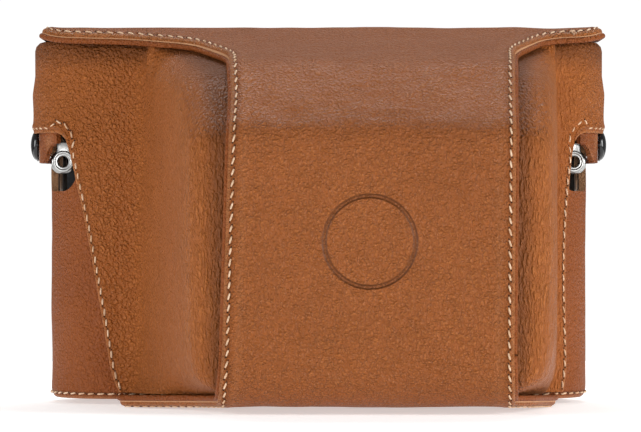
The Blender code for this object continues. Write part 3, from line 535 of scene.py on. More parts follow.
def stitch(thread, holes, here, way, up, reach):
    """One stitch that dips in at both ends, and at each end a dark disc of painted shade for its needle hole."""
    side = up.cross(way)
    corners = [math.pi * m / 4 for m in range(STITCH_SIDES)]
    rings = []
    for k in range(STITCH_RINGS):
        u = -1 + 2 * k / (STITCH_RINGS - 1)
        girth = STITCH_THICK * math.sqrt(max(0.03, 1 - abs(u) ** 3.2))
        centre = here + way * (u * reach) + up * (0.12 - 0.42 * abs(u) ** 4)
        rings.append([thread.verts.new(centre + side * (girth * math.cos(a)) + up * (girth * 0.85 * math.sin(a)))
                      for a in corners])
    capped(thread, rings)
    for end in (-1, 1):
        centre = here + way * (end * (reach + 0.1)) + up * 0.015
        rim = [holes.verts.new(centre + way * (0.22 * math.cos(a)) + side * (0.2 * math.sin(a))) for a in corners]
        dome = holes.verts.new(centre + up * 0.05)
        for m in range(STITCH_SIDES):
            holes.faces.new([rim[m], rim[(m + 1) % STITCH_SIDES], dome])


def seam(name, runs, body, slant=10.0):
    """Stitches, and needle holes drawn as dark discs of painted shade, along runs of (point, outward normal)."""
    thread, holes = bmesh.new(), bmesh.new()
    count = 0
    for run in runs:
        points, normals = [Vector(p) for p, _ in run], [Vector(n) for _, n in run]
        along = lengths(points)
        number = max(1, round(along[-1] / STITCH_PITCH))
        for n in range(number):
            s = (n + 0.5) * (along[-1] / number)
            i = min(max(int(np.searchsorted(along, s)) - 1, 0), len(points) - 2)
            t = (s - along[i]) / max(1e-6, along[i + 1] - along[i])
            up = normals[i].lerp(normals[i + 1], t).normalized()
            way = (points[i + 1] - points[i]).normalized()
            way = (way - up * way.dot(up)).normalized()
            angle = math.radians(slant + 4 * math.sin(count * 12.9898))
            reach = STITCH_LONG / 2 * (1 + 0.06 * math.sin(count * 78.233))
            stitch(thread, holes, points[i].lerp(points[i + 1], t), Matrix.Rotation(angle, 3, up) @ way, up, reach)
            count += 1
    made_object(f"{name}_stitches", thread, [THREAD], body)
    made_object(f"{name}_needle_holes", holes, [HOLE_SHADE], body)


def polyline_seam(name, corners, normal, body):
    """A seam in straight lines between corners, with one normal."""
    seam(name, [[(a, normal), (b, normal)] for a, b in zip(corners, corners[1:])], body)


def bell(value, centre, width):
    """Smooth hump of height 1."""
    return math.exp(-((value - centre) / width) ** 2)


def edge_fall(distance, reach):
    """1 at an edge, and falling to 0 at reach from it."""
    return max(0.0, 1 - distance / reach) ** 2


def smoothstep(value, low, high):
    t = np.clip((value - low) / (high - low), 0.0, 1.0)
    return t * t * (3 - 2 * t)


def edge_distance(points, line):
    """Distance of each point of an N x 2 array from a polyline."""
    best = np.full(len(points), 1e9)
    for a, b in zip(line, line[1:]):
        ab = b - a
        t = np.clip(((points - a) @ ab) / max(1e-9, float(ab @ ab)), 0, 1)
        best = np.minimum(best, np.linalg.norm(points - a - t[:, None] * ab, axis=1))
    return best


def noisy(p, scale, seed=0.0):
    return noise.noise(Vector((p[0] / scale + seed, p[1] / scale - seed, p[2] / scale + 2 * seed)))


# ---------------------------------------------------------------- centre panel

def crown_share(s):
    """How much of the edge's large roll applies: on the crown, and a little at the foot."""
    top = smoothstep(s, s_at_top(-24), s_at_top(-6)) * (1 - smoothstep(s, s_at_back(90), s_at_back(84)))
    return float(top), float(1 - smoothstep(s, s_at_bottom(-42), s_at_bottom(-50)))


def roll(s, d):
    """Depth of the panel's face at distance d from its edge: a rolled edge with a stitched groove."""
    top, foot = crown_share(s)
    share = max(top, 0.8 * foot)
    reach, drop = 1.4 + 0.6 * share, 0.95 + 0.35 * share
    depth = drop * (1 - math.sqrt(max(0.0, 1 - max(0.0, (reach - d) / reach) ** 2)))
    return depth + 0.2 * bell(d, STITCH_IN, 0.42) - 0.1 * bell(d, 2.4, 0.6)


def centre_panel():
    """T-shaped panel of smooth leather with rolled, stitched edges, slack over the nose."""
    stations = list(np.arange(0, PROFILE_END, 1.0)) + [PROFILE_END]
    for low, high in ((s_at_top(-9.5), s_at_top(-2.0)), (PROFILE_END - 3, PROFILE_END),
                      (s_at_top(34), s_at_back(90)), (s_at_bottom(-13), s_at_bottom(-16))):
        stations += list(np.arange(low, high, 0.3))
    stations = sorted(set(round(float(s), 2) for s in stations))
    near = [0, .12, .3, .55, .85, 1.1, 1.35, 1.6, 1.95, 2.4, 3.0, 3.9, 5.2, 7.0]
    inner_steps = 84
    lines = {side: np.array([[p.x, p.y] for p in OUTLINES[side]]) for side in (LEFT, RIGHT)}
    flat = []
    for s in stations:
        left, right = -half_width(LEFT, s), half_width(RIGHT, s)
        middle = [left + 7 + (right - left - 14) * k / inner_steps for k in range(1, inner_steps)]
        flat.append([left + d for d in near] + middle + [right - d for d in reversed(near)])
    flat = np.array(flat)
    rows, columns = flat.shape
    grid_s = np.repeat(np.array(stations)[:, None], columns, axis=1)
    spots = np.stack([grid_s.ravel(), flat.ravel()], axis=1)
    gap = np.minimum(edge_distance(spots * [1, -1], lines[LEFT]), edge_distance(spots, lines[RIGHT]))
    gap = np.minimum(gap, PROFILE_END - spots[:, 0]).reshape(rows, columns)
    outer, inner, tone = grids(rows, columns)
    bend_low, bend_high = s_at_front(63.9), s_at_top(-30)
    for i, s in enumerate(stations):
        bend = bell(s - bend_low, 6, 5)
        wrinkled = float(smoothstep(s, bend_low, bend_low + 8) * (1 - smoothstep(s, bend_high, bend_high + 12)))
        for j in range(columns):
            x, d = flat[i, j], gap[i, j]
            slack = min(1.0, d / 6.0)
            spot = (x, s, 0.0)
            wave = 0.42 * noisy(spot, 26, 3) + 0.2 * noisy(spot, 9, 7)
            fold = 0.34 * wrinkled * abs(noisy((x * 0.45, s * 1.6, 0), 5.0, 11)) + 0.2 * bend
            depth = roll(s, d) + slack * (max(0.0, 0.18 + wave) + fold)
            outer[i, j] = (x, *profile_at(s, depth))
            inner[i, j] = (x, *profile_at(s, max(LEATHER, depth + 0.7)))
            # Painted shade: darker along the stitch groove, at the bevel's lower bend and in a line just inside the
            # stitches. Painted highlight: lighter at the rolled edge, which is also worn pale, and in a faint band 3.6
            # mm in
            dark = 0.2 * bell(d, STITCH_IN, 0.5) + 0.1 * bend * slack + 0.1 * bell(d, 2.3, 0.5)
            tone[i, j] = 0.4 * bell(d, 0.5, 0.45) + 0.12 * bell(d, 3.6, 1.0) - dark
    made = shell("centre_panel", outer, inner, [SMOOTH, FLESH, RAW], "front_cover", tone)
    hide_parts("cover_centre_panel")
    return made


def outline_run(side, inward, start, end):
    """Places and outward normals along the panel's edge, inward from it, over a range of length along it."""
    outline = OUTLINES[side]
    along = lengths(outline)
    run = []
    count = int((end - start) / 0.5)
    for i in range(count + 1):
        spot, way = point_at(outline, along, start + (end - start) * i / count)
        out = Vector((-way.y, way.x))
        place = spot - out * inward
        s = min(max(place.x, 0.1), PROFILE_END - 0.1)
        depth = roll(s, inward) if inward >= 0 else WELT_DEPTH
        y0, z0 = profile_at(s, 1.0)
        y1, z1 = profile_at(s, 0.0)
        top, foot = crown_share(s)
        away = out * (0.55 * max(top, 0.8 * foot))
        ahead = Vector((0, *(np.array(profile_at(min(s + 0.3, PROFILE_END), 0)) - np.array(profile_at(s, 0)))))
        ahead = ahead.normalized() if ahead.length else Vector((0, 0, 0))
        face = Vector((0, y1 - y0, z1 - z0))
        run.append((Vector((side * place.y, *profile_at(s, depth - 0.06))),
                    (face + Vector((side * away.y, 0, 0)) + ahead * away.x).normalized()))
    return run


WELT_DEPTH, WELT_RADIUS = 2.3, 0.72


def panel_trim():
    """Stitches round the centre panel, and the welts under its edges."""
    for side, label in SIDES:
        total = lengths(OUTLINES[side])[-1]
        bm = bmesh.new()
        tube(bm, [p for p, _ in outline_run(side, -0.05, 1.0, total - 0.6)], WELT_RADIUS, 10)
        made = made_object(f"welt_{label}", bm, [CASE], "front_cover")
        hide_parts(f"cover_welt_{label}")
    for side, label in SIDES:
        run = outline_run(side, STITCH_IN, 1.0, lengths(OUTLINES[side])[-1] - 1.6)
        seam(f"panel_{label}_edge", [run], "front_cover", slant=15 * side)
    back = [((-47.5 + 95 * i / 80, COVER_REAR + 0.02, COVER_HEM + STITCH_IN), (0, 1, 0)) for i in range(81)]
    seam("panel_back_hem", [back[:32], back[49:]], "front_cover")


# ---------------------------------------------------------------- side panels

HEMS = {LEFT: ((1.5, 4.1, 8.4, 29.4, 47.1, 58.7, 66.2, 68.7, 69.7),
               (47.4, 48.5, 51.0, 55.0, 58.7, 61.9, 63.6, 65.3, 67.4)),
        RIGHT: ((1.5, 4.2, 9.4, 18.4, 31.9, 47.1, 53.7, 65.4, 68.0, 69.7),
                (60.2, 61.0, 61.8, 61.8, 61.1, 61.8, 62.3, 63.5, 65.3, 67.4))}


def end_half(z):
    """Outward reach of the cover over the ends: it flares from the hem's front down to its lower edge."""
    if z >= COVER_HEM:
        return 74.3 - 2.2 * (z - COVER_HEM) / (91 - COVER_HEM)
    t = min(1.0, max(0.0, (z - 50) / (COVER_HEM - 50)))
    return 69.9 + 4.4 * t * t * (3 - 2 * t)


# Plan of the nose's side walls as outward coordinates over y: over most of the height, and at the foot
WALL_PLAN = {
    LEFT: (((-1.9, 44.0), (-14.0, 40.6), (-34.0, 35.4), (-46.0, 32.4)),
           ((-1.9, 46.6), (-12.0, 46.6), (-17.0, 41.4), (-30.5, 27.6), (-41.0, 22.4), (-46.0, 21.6))),
    RIGHT: (((-1.9, 59.5), (-14.0, 58.9), (-34.0, 57.8), (-46.0, 57.2)),
            ((-1.9, 56.4), (-12.0, 56.2), (-35.0, 49.8), (-42.0, 45.4), (-46.0, 44.6)))}
WALL_ROUND = 5.0              # how far these plans' corners are rounded
SHOULDER = 6.5                # size of the shoulder between a side wall and the nose's front
FOOT_HEIGHT = 13.0            # the walls draw in below this
FRONT_END_Y = -6.6            # where the nose runs into the body of the cover


def wall_outward(side, y, draw):
    """Outward coordinate of a nose wall. draw is 0 over most of the height and 1 at the foot."""
    main, foot = WALL_PLAN[side]
    reach = []
    for plan in (main, foot):
        ys, xs = [-p[0] for p in plan], [p[1] for p in plan]
        spread = min(WALL_ROUND, max(0.0, -y - 3.0))
        near = [interpolate(-y + spread * k / 4, ys, xs) for k in (-4, -2, 0, 2, 4)]
        reach.append((near[0] + 2 * near[1] + 2 * near[2] + 2 * near[3] + near[4]) / 8)
    return reach[0] + (reach[1] - reach[0]) * draw


def rail(depth):
    """(y, z) stations at a depth under the bevel and the sloping top, with the same stations at any depth."""
    slope = (TOP - BEVEL_HIGH[1]) / (1.5 - BEVEL_HIGH[0])
    tilt, bevel = math.atan(slope), math.radians(45)
    low = (NOSE_FRONT + depth, BEVEL_LOW + depth * math.tan(-bevel / 2))
    turn = (bevel - tilt) / 2
    middle = (bevel + tilt) / 2
    high = (BEVEL_HIGH[0] + depth * math.sin(middle) / math.cos(turn),
            BEVEL_HIGH[1] - depth * math.cos(middle) / math.cos(turn))
    end = (FRONT_END_Y, high[1] + (FRONT_END_Y - high[0]) * slope)
    line = rounded([(low[0], 55.0), (*low, max(9.0 - depth, 2.0)), (*high, max(14.0 - depth, 4.0)), end],
                   math.radians(23))
    top = [line[-2] + (line[-1] - line[-2]) * k / 4 for k in (1, 2, 3)]
    return line[1:-1] + top + [line[-1]]


def rim_stations():
    """Pairs of (y, z) on the turned edge and on the wall, from the foot to the top, with how much walls draw."""
    stations = []
    radius = 10.0 - RIM_DEPTH
    foot = floor_height(-44.0)
    for t in (0.0, 0.1, 0.3, 0.6, 1.0):
        z = foot + (FOOT_HEIGHT - foot) * t
        rise = min(1.0, (z - foot) / radius)
        y = SHOULDER_Y + radius - radius * math.sqrt(1 - (1 - rise) ** 2)
        wall = SHOULDER_Y + SHOULDER + 0.6 * (1 - t)
        draw = 1 - math.sqrt(1 - (1 - t) ** 2)
        stations.append(((min(y, wall - 0.6), z), (wall, z), draw))
    for z in (24.0, 36.0, 48.0, 58.0):
        stations.append(((SHOULDER_Y, z), (SHOULDER_Y + SHOULDER, z), 0.0))
    for edge, wall in zip(rail(RIM_DEPTH), rail(RIM_DEPTH + SHOULDER)):
        stations.append(((edge.x, edge.y), (wall.x, wall.y), 0.0))
    return stations


END_COLUMNS, HEM_COLUMNS, FOOT_COLUMNS, WALL_COLUMNS, SHOULDER_COLUMNS = 8, 2, 3, 4, 3


def body_section(side, z, draw):
    """Plan of the cover's body from the back to where a nose wall starts: places with inward normals."""
    end = end_half(z)
    rear = COVER_REAR - RIM_DEPTH
    corner = BODY_CORNER - FACE_Y
    foot_radius = {LEFT: 4.5 - 3.0 * draw, RIGHT: 1.6 - 0.6 * draw}[side]
    crease, ahead = wall_outward(side, FACE_Y, draw), wall_outward(side, FRONT_END_Y, draw)
    foot_turn = math.atan2(FACE_Y - FRONT_END_Y, crease - ahead)
    foot_x = crease + foot_radius * math.tan(foot_turn / 2)
    arc = [(end - corner + corner * math.cos(math.radians(a)), BODY_CORNER - corner * math.sin(math.radians(a)))
           for a in range(0, 91, 6)]
    arc = [p for p in arc if p[0] > foot_x + 0.2]
    crease_y = FACE_Y
    if crease > end - corner:
        crease_y = BODY_CORNER - math.sqrt(corner ** 2 - (crease - end + corner) ** 2)
    line = rounded([(47.0, rear), (end, rear, BODY_CORNER)] + arc
                   + [(crease, crease_y, foot_radius), (ahead, FRONT_END_Y)], math.radians(6))
    along = lengths(line)
    front = [i for i, p in enumerate(line) if p.y < BODY_CORNER]
    hem = max(interpolate(z, *HEMS[side]), foot_x + 0.3)
    hem_index = next(i for i in front if line[i].x <= hem)
    a, b = line[hem_index - 1], line[hem_index]
    hem_s = along[hem_index - 1] + (b - a).length * (a.x - hem) / (a.x - b.x)
    foot_start = next(along[i] for i in front if line[i].x <= foot_x + 0.05)
    marks = [(0, END_COLUMNS), (hem_s, HEM_COLUMNS), (foot_start, FOOT_COLUMNS), (along[-2], 0)]
    section = []
    for (s0, count), (s1, _) in zip(marks, marks[1:]):
        for i in range(count):
            section.append(s0 + (s1 - s0) * i / count)
    section.append(along[-2])
    result = []
    for s in section:
        point, way = point_at(line, along, s)
        result.append((point, Vector((way.y, -way.x))))
    return result


FOOT_ROWS = 5                 # rows that lie under FOOT_HEIGHT, and follow the floor
STEPS = 6                     # cells that each cell of the frame's grid is cut into, each way
HEM_ROW = 9                   # row of the grid at the hem's corner
HEM_IN = 1.2                  # from the lower hem to its stitches


def row_height(row, z, y):
    """Height at y of a row whose wall is at height z: the lowest rows follow the floor."""
    if row >= FOOT_ROWS:
        return z
    foot = floor_height(y)
    t = (z - floor_height(-44.0)) / (FOOT_HEIGHT - floor_height(-44.0))
    return foot + (FOOT_HEIGHT - foot) * t


def side_surface(side):
    """Points of a side panel's outer face, by row and column, at the frame's own spacing."""
    stations = rim_stations()
    body_columns = END_COLUMNS + HEM_COLUMNS + FOOT_COLUMNS
    z_low, z_high = stations[HEM_ROW][1][1], stations[-1][1][1]
    grid = {}
    for i, (edge, wall, draw) in enumerate(stations):
        z_row = wall[1]
        for j, (spot, inward) in enumerate(body_section(side, z_row, draw)):
            z = row_height(i, z_row, spot.y)
            blend = min(1.0, max(0.0, 1 - (j - END_COLUMNS) / HEM_COLUMNS))
            if i >= HEM_ROW:
                z += blend * (COVER_HEM - z_low) * (z_high - z_row) / (z_high - z_low)
            grid[i, j] = Vector((spot.x, spot.y, z))
        start = grid[i, body_columns]
        for k in range(1, WALL_COLUMNS + 1):
            y = start.y + (wall[0] - start.y) * k / WALL_COLUMNS
            grid[i, body_columns + k] = Vector((wall_outward(side, y, draw), y, row_height(i, z_row, y)))
        s = min(SAMPLES, key=lambda p: (p[1] - edge[0]) ** 2 + (p[2] - edge[1]) ** 2)[0]
        brow = wall_outward(side, wall[0], draw)
        shelf = min(max(half_width(side, s) + 1.5, brow - 8.5), brow - 2.0)
        tuck = min(half_width(side, s) - 3.0, shelf - 2.0)
        column = body_columns + WALL_COLUMNS
        for k in range(1, SHOULDER_COLUMNS + 1):
            angle = math.pi / 2 * (1 - k / SHOULDER_COLUMNS)
            t = 1 - math.cos(angle)
            grid[i, column + k] = Vector((shelf + (brow - shelf) * math.sin(angle),
                                          edge[0] + (wall[0] - edge[0]) * t, edge[1] + (wall[1] - edge[1]) * t))
        grid[i, column + SHOULDER_COLUMNS + 1] = Vector((tuck, *edge))
    count, last = len(stations), body_columns + WALL_COLUMNS + SHOULDER_COLUMNS + 1
    radius = 2.5
    extra = [(0.0, 0.5, 0.0)] + [(1 - math.cos(a), 1.0, math.sin(a)) for a in (0.001, 0.52, 1.05, 1.57)]
    extra += [(1.9, 1.0, 1.0)]
    section = body_section(side, z_high, 0.0)
    for row, (inset, climb, rise) in enumerate(extra):
        for j, (spot, inward) in enumerate(section):
            place = spot + inward * inset * radius
            roof = roof_height(spot.y) - radius
            z = z_high + (roof - z_high) * climb + rise * radius
            grid[count + row, j] = Vector((place.x, place.y, z))
    rows, columns = count + len(extra), last + 1
    points = np.zeros((rows, columns, 3))
    for i in range(rows):
        for j in range(columns):
            p = grid.get((i, j))
            points[i, j] = (side * p.x, p.y, p.z) if p else points[i, j - 1]
    return points, count, last, body_columns


def subdivided(points, steps):
    """The grid with each cell cut into steps x steps, by straight lines."""
    for axis in (0, 1):
        size = points.shape[axis]
        place = np.linspace(0, size - 1, (size - 1) * steps + 1)
        low = np.minimum(place.astype(int), size - 2)
        t = (place - low).reshape([-1 if k == axis else 1 for k in range(3)])
        points = np.take(points, low, axis) * (1 - t) + np.take(points, low + 1, axis) * t
    return points


def relaxed(points, rounds):
    """Grid smoothed between its fixed outer edges."""
    for _ in range(rounds):
        fresh = points.copy()
        fresh[1:-1] = fresh[1:-1] * 0.5 + (points[:-2] + points[2:])[:, :] * 0.25
        again = fresh.copy()
        again[:, 1:-1] = fresh[:, 1:-1] * 0.5 + (fresh[:, :-2] + fresh[:, 2:]) * 0.25
        points = again
    return points


def grid_normals(points, side):
    along = np.gradient(points, axis=1)
    up = np.gradient(points, axis=0)
    normal = np.cross(along, up) * side
    size = np.linalg.norm(normal, axis=2, keepdims=True)
    return np.where(size > 1e-9, normal / np.maximum(size, 1e-9), 0)


def side_panel(side, label):
    """Moulded grained panel over an end of the case, down its front and along the nose, with its stitched hem."""
    coarse, count, last, body_columns = side_surface(side)
    raw = subdivided(coarse[:count], STEPS)
    low_part = relaxed(raw, 50)
    gone_i = np.abs(np.arange(raw.shape[0]) - HEM_ROW * STEPS)[:, None]
    gone_j = np.abs(np.arange(raw.shape[1]) - END_COLUMNS * STEPS)[None, :]
    past = np.maximum(0, np.arange(raw.shape[1]) - END_COLUMNS * STEPS)[None, :]
    over = np.maximum(0, np.arange(raw.shape[0]) - HEM_ROW * STEPS)[:, None]
    hem = np.maximum(np.exp(-(gone_i / 9.0) ** 2) * np.exp(-(past / 7.0) ** 2),
                     np.exp(-(gone_j / 6.0) ** 2) * np.exp(-(over / 7.0) ** 2))
    low_part = low_part + hem[:, :, None] * (relaxed(raw, 10) - low_part)
    top_part = subdivided(coarse[count - 1:], STEPS)
    edge_j = body_columns * STEPS - 1
    top_part = low_part[-1] + (top_part - top_part[0])
    climb = np.linspace(0, 1, len(top_part))[:, None, None]
    past_edge = low_part[-1][edge_j + 1:] - low_part[-1][edge_j]
    top_part[:, edge_j + 1:] = top_part[:, edge_j][:, None] + past_edge * (1 - climb)
    points = np.concatenate([low_part, top_part[1:]])
    rows, columns = points.shape[:2]
    corner_i, corner_j, fillet = HEM_ROW * STEPS, END_COLUMNS * STEPS, 4.5
    corner = points[corner_i, corner_j].copy()
    for j in range(columns):
        gone = float(np.linalg.norm((points[corner_i, j] - corner)[:2]))
        if j <= corner_j:
            drop = fillet - math.sqrt(max(0.0, fillet ** 2 - max(0.0, fillet - gone) ** 2))
        else:
            drop = fillet * bell(gone, 0, 4.0)
        for i in range(rows):
            share = max(0.0, 1 - (corner_i - i) / STEPS) if i < corner_i else bell(i, corner_i, 9.0)
            points[i, j, 2] -= drop * share
    mask = np.ones((rows - 1, columns - 1), bool)
    mask[:HEM_ROW * STEPS, :END_COLUMNS * STEPS] = False
    out = -grid_normals(points, side)
    tone = np.zeros((rows, columns))
    moved = points.copy()
    tuck = (last - SHOULDER_COLUMNS) * STEPS
    hem_j, hem_i = END_COLUMNS * STEPS, HEM_ROW * STEPS
    for i in range(rows):
        for j in range(columns):
            p = points[i, j]
            edge = 99.0
            if i <= hem_i and j >= hem_j:
                edge = np.linalg.norm(p - points[i, hem_j])
            if j <= hem_j and i >= hem_i:
                edge = min(edge, np.linalg.norm(p - points[hem_i, j]))
            if j > hem_j and i > hem_i:
                edge = min(edge, np.linalg.norm(p - points[hem_i, hem_j]))
            slack = min(1.0, edge / 4.0) * min(1.0, i / 10.0)
            if j > tuck:
                slack *= 0.4
            wave = (0.30 * noisy(p, 17, 4) + 0.14 * noisy(p, 6, 9)) * (0.15 if j < hem_j else 1.0)
            drawn = noisy((p[0] * 1.7, p[1] * 1.7, p[2] * 0.28), 4.2, 13)
            front = float(smoothstep(-p[1], -2.0, 6.0))
            fold = -0.3 * max(0.0, drawn) * front * slack
            high = float(smoothstep(p[2], 70, 88)) * front * slack
            ripple = -0.4 * high * abs(noisy((p[0], p[1], p[2] * 1.8), 3.6, 21))
            groove = -0.2 * bell(edge, 0.9, 0.4)
            lip = 0.1 * bell(edge, 1.9, 0.5) - 0.25 * edge_fall(edge, 0.4)
            lift = slack * (wave - 0.15) + fold + ripple + groove + lip
            moved[i, j] = p + out[i, j] * lift
            # Worn pale hem edge, and painted shade along the hem's stitch groove
            tone[i, j] = 0.55 * bell(edge, 0, 0.45) - 0.3 * bell(edge, 1.0, 0.45)
            # Painted shade in the hollows of the drawn folds
            tone[i, j] -= 0.12 * max(0.0, drawn) * front * slack
            # Painted highlight along the nose's shoulder
            tone[i, j] += 0.1 * bell(j, tuck, 1.5 * STEPS) * slack
            # Painted shade where the panel tucks in under the centre panel's rim
            tone[i, j] -= 0.5 * float(smoothstep(j, columns - 2.2 * STEPS, columns - STEPS)) * (i < (count - 1) * STEPS)
            # Painted shadow under the crown, on the rows that climb up to the roof
            tone[i, j] -= 0.45 * float(smoothstep(i, (count - 1) * STEPS, (count + 1) * STEPS))
    soft = relaxed(out, 40)
    soft /= np.maximum(np.linalg.norm(soft, axis=2, keepdims=True), 1e-6)
    inner = moved - soft * 1.2
    for i in range(STEPS * 2):
        inner[i, :, 2] = np.maximum(inner[i, :, 2], moved[0, :, 2] + 0.05 * i)
    made = shell(f"side_panel_{label}", moved, inner, [GRAINED, FLESH, RAW], "front_cover", tone, mask)
    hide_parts(f"cover_side_{label}")
    hem_seam(side, label, moved, out, fillet)


def hem_seam(side, label, points, out, fillet):
    """Stitches up the slanting hem, round its corner and along the lower edge over the end of the case."""
    hem_j, hem_i = END_COLUMNS * STEPS, HEM_ROW * STEPS
    run = []
    for i in range(3, hem_i):
        inward = points[i, hem_j + 4] - points[i, hem_j]
        run.append((points[i, hem_j] + inward * min(1.0, 0.9 / max(0.1, float(np.linalg.norm(inward)))),
                    out[i, hem_j + 2]))
    row = points[hem_i]
    plan = np.concatenate([[0], np.cumsum(np.linalg.norm(np.diff(row[:, :2], axis=0), axis=1))])
    for angle in np.radians(np.arange(0, 91, 9)):
        away = plan[hem_j] - (fillet - (fillet + HEM_IN) * math.cos(angle))
        spot = [float(np.interp(away, plan, row[:, k])) for k in (0, 1)]
        column = int(np.searchsorted(plan, away))
        run.append((np.array([*spot, COVER_HEM - fillet + (fillet + HEM_IN) * math.sin(angle)]),
                    out[hem_i + 2, column]))
    for j in range(hem_j - 1, 0, -1):
        if plan[hem_j] - plan[j] > fillet + 0.6:
            run.append((row[j] + (0, 0, HEM_IN), out[hem_i + 2, j]))
    run = [(Vector(p) + Vector(n) * 0.1, Vector(n)) for p, n in run]
    seam(f"hem_{label}", [run], "front_cover", slant=12 * side)


# ---------------------------------------------------------------- half case

def body_outline(inset, step=0.9):
    """Closed plan outline of the half case, evenly divided."""
    half, radius = BODY_HALF - inset, BODY_CORNER - inset
    low, high = inset, BODY_DEPTH - inset
    line = rounded([(0.0, low), (half, low, radius), (half, high, radius), (-half, high, radius),
                    (-half, low, radius), (0.0, low)], math.radians(3))
    along = lengths(line)
    count = int(354 / step)
    return [point_at(line, along, along[-1] * i / count) for i in range(count)]


def extruded(name, outline, place, paint):
    """Solid between two copies of an outline; place(point, which) gives each corner's place."""
    bm = bmesh.new()
    ends = [[bm.verts.new(place(p, which)) for p in outline] for which in (0, 1)]
    bm.faces.new(ends[0])
    bm.faces.new(ends[1])
    for i in range(len(outline)):
        j = (i + 1) % len(outline)
        bm.faces.new([ends[0][i], ends[0][j], ends[1][j], ends[1][i]])
    bmesh.ops.recalc_face_normals(bm, faces=bm.faces)
    return made_object(name, bm, [paint])


LENS_OUTLINE = rounded([(NOSE_X, 14.0), (NOSE_X + 44, 14.0, 12.0), (NOSE_X + 44, 80), (NOSE_X - 44, 80),
                        (NOSE_X - 44, 14.0, 12.0), (NOSE_X, 14.0)])[:-1]
NOTCH_OUTLINE = rounded([(0, NOTCH_FOOT), (NOTCH_HALF, NOTCH_FOOT, 5.0), (NOTCH_HALF, 80), (-NOTCH_HALF, 80),
                         (-NOTCH_HALF, NOTCH_FOOT, 5.0), (0, NOTCH_FOOT)])[:-1]


FOOT_SEAM, TOP_SEAM = 2.6, 1.6      # height of the foot's stitches, and depth of the top's under the edge


def wall_ring(bm, outline, z):
    """The wall's outer face at one height: soft, with a turned foot and a groove for each seam."""
    tone = bm.verts.layers.float["tone"]
    up, down = z - WALL_FOOT, REAR_TOP - z
    tuck = 1.3 * math.exp(-up / 0.8) + 0.3 * edge_fall(down, 0.5)
    groove = 0.16 * bell(z, FOOT_SEAM, 0.4) + 0.12 * bell(down, TOP_SEAM, 0.4)
    soft = min(1.0, min(up, down) / 5)
    ring = []
    for p, way in outline:
        spot = (p.x, p.y, z)
        away = soft * (0.3 * noisy(spot, 22, 6) + 0.12 * noisy(spot, 7, 2) - 0.1) - tuck
        away -= groove
        vert = bm.verts.new((p.x + way.y * away, p.y - way.x * away, z))
        # Pale worn foot and top edges, and painted shade along the foot seam's groove
        vert[tone] = 0.5 * bell(up, 0, 0.7) + 0.4 * bell(down, 0, 0.5) - 0.3 * bell(z, FOOT_SEAM, 0.5)
        ring.append(vert)
    return ring


def case_wall():
    """Uncut wall of the half case, with its inner face and rims."""
    heights = [WALL_FOOT, 1.5, 1.8, 2.2, 2.7, 3.3, 4.0, *np.arange(5, REAR_TOP - 1, 1.0), 68.4, 68.8, 69.05, REAR_TOP]
    bm = bmesh.new()
    bm.verts.layers.float.new("tone")
    outside = body_outline(0)
    front = [wall_ring(bm, outside, z) for z in heights]
    back = [[bm.verts.new((p.x, p.y, z)) for p, _ in body_outline(WALL)] for z in heights[::4] + [REAR_TOP]]
    skin(bm, front)
    for a, b in zip(back, back[1:]):
        skin(bm, (b, a), 1)
    skin(bm, (front[-1], back[-1]), 2)
    skin(bm, (back[0], front[0]), 2)
    bmesh.ops.recalc_face_normals(bm, faces=bm.faces)
    return made_object("half_case_shell", bm, [CASE, FLESH, RAW])


def case_cutters():
    """Solids to cut from the wall: for the lens, the lower front edge, the lugs and the press studs."""
    cutters = [extruded("lens_cut", LENS_OUTLINE, lambda p, k: (p.x, (-5, 12)[k], p.y), RAW)]
    span = BODY_HALF - 7.2
    cutters.append(extruded("front_cut", [(-span, -5), (span, -5), (span, 12), (-span, 12)],
                            lambda p, k: (p[0], p[1], (FRONT_TOP, 75)[k]), RAW))
    for side, label in SIDES:
        centre = Vector((side * (BODY_HALF - BODY_CORNER), BODY_CORNER, 0))
        away = Vector((side * math.cos(NOTCH_ANGLE), -math.sin(NOTCH_ANGLE), 0))
        across = Vector((-away.y, away.x, 0))
        cutters.append(extruded(f"notch_cut_{label}", NOTCH_OUTLINE,
                                lambda p, k: centre + away * (12, 24)[k] + across * p.x + Vector((0, 0, p.y)), RAW))
        bm = bmesh.new()
        bmesh.ops.create_cone(bm, segments=24, radius1=1.6, radius2=1.6, depth=8, cap_ends=True,
                              matrix=Matrix.Translation((side * BODY_HALF, STUD_Y, STUD_Z))
                              @ Matrix.Rotation(math.pi / 2, 4, "Y"))
        cutters.append(made_object(f"stud_hole_{label}", bm, [RAW]))
    return cutters


def half_case():
    """Wall of the half case, cut for the lens and the lugs, and stitched along its edges."""
    made, cutters = case_wall(), case_cutters()
    for cutter in cutters:
        change = made.modifiers.new(cutter.name, "BOOLEAN")
        change.operation, change.solver, change.object = "DIFFERENCE", "EXACT", cutter
    bpy.context.view_layer.update()
    cut_mesh = bpy.data.meshes.new_from_object(made.evaluated_get(bpy.context.evaluated_depsgraph_get()))
    made.modifiers.clear()
    made.data = cut_mesh
    cut_mesh.shade_smooth()
    cut_mesh.set_sharp_from_angle(angle=math.radians(40))
    for cutter in cutters:
        bpy.data.objects.remove(cutter)
    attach(made, "half_case")
    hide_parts("half_case_wall")
    outline = body_outline(0)
    line = [(p, Vector((way.y, -way.x, 0))) for p, way in outline + outline[:1]]
    foot = [(Vector((p.x, p.y, FOOT_SEAM)) - out * 0.1, out) for p, out in line]
    top = [(Vector((p.x, p.y, REAR_TOP - TOP_SEAM)) - out * 0.02, out) for p, out in line if p.y > 22]
    seam("case_foot", [foot], "half_case")
    seam("case_top", [top], "half_case")


# ---------------------------------------------------------------- smaller leather pieces

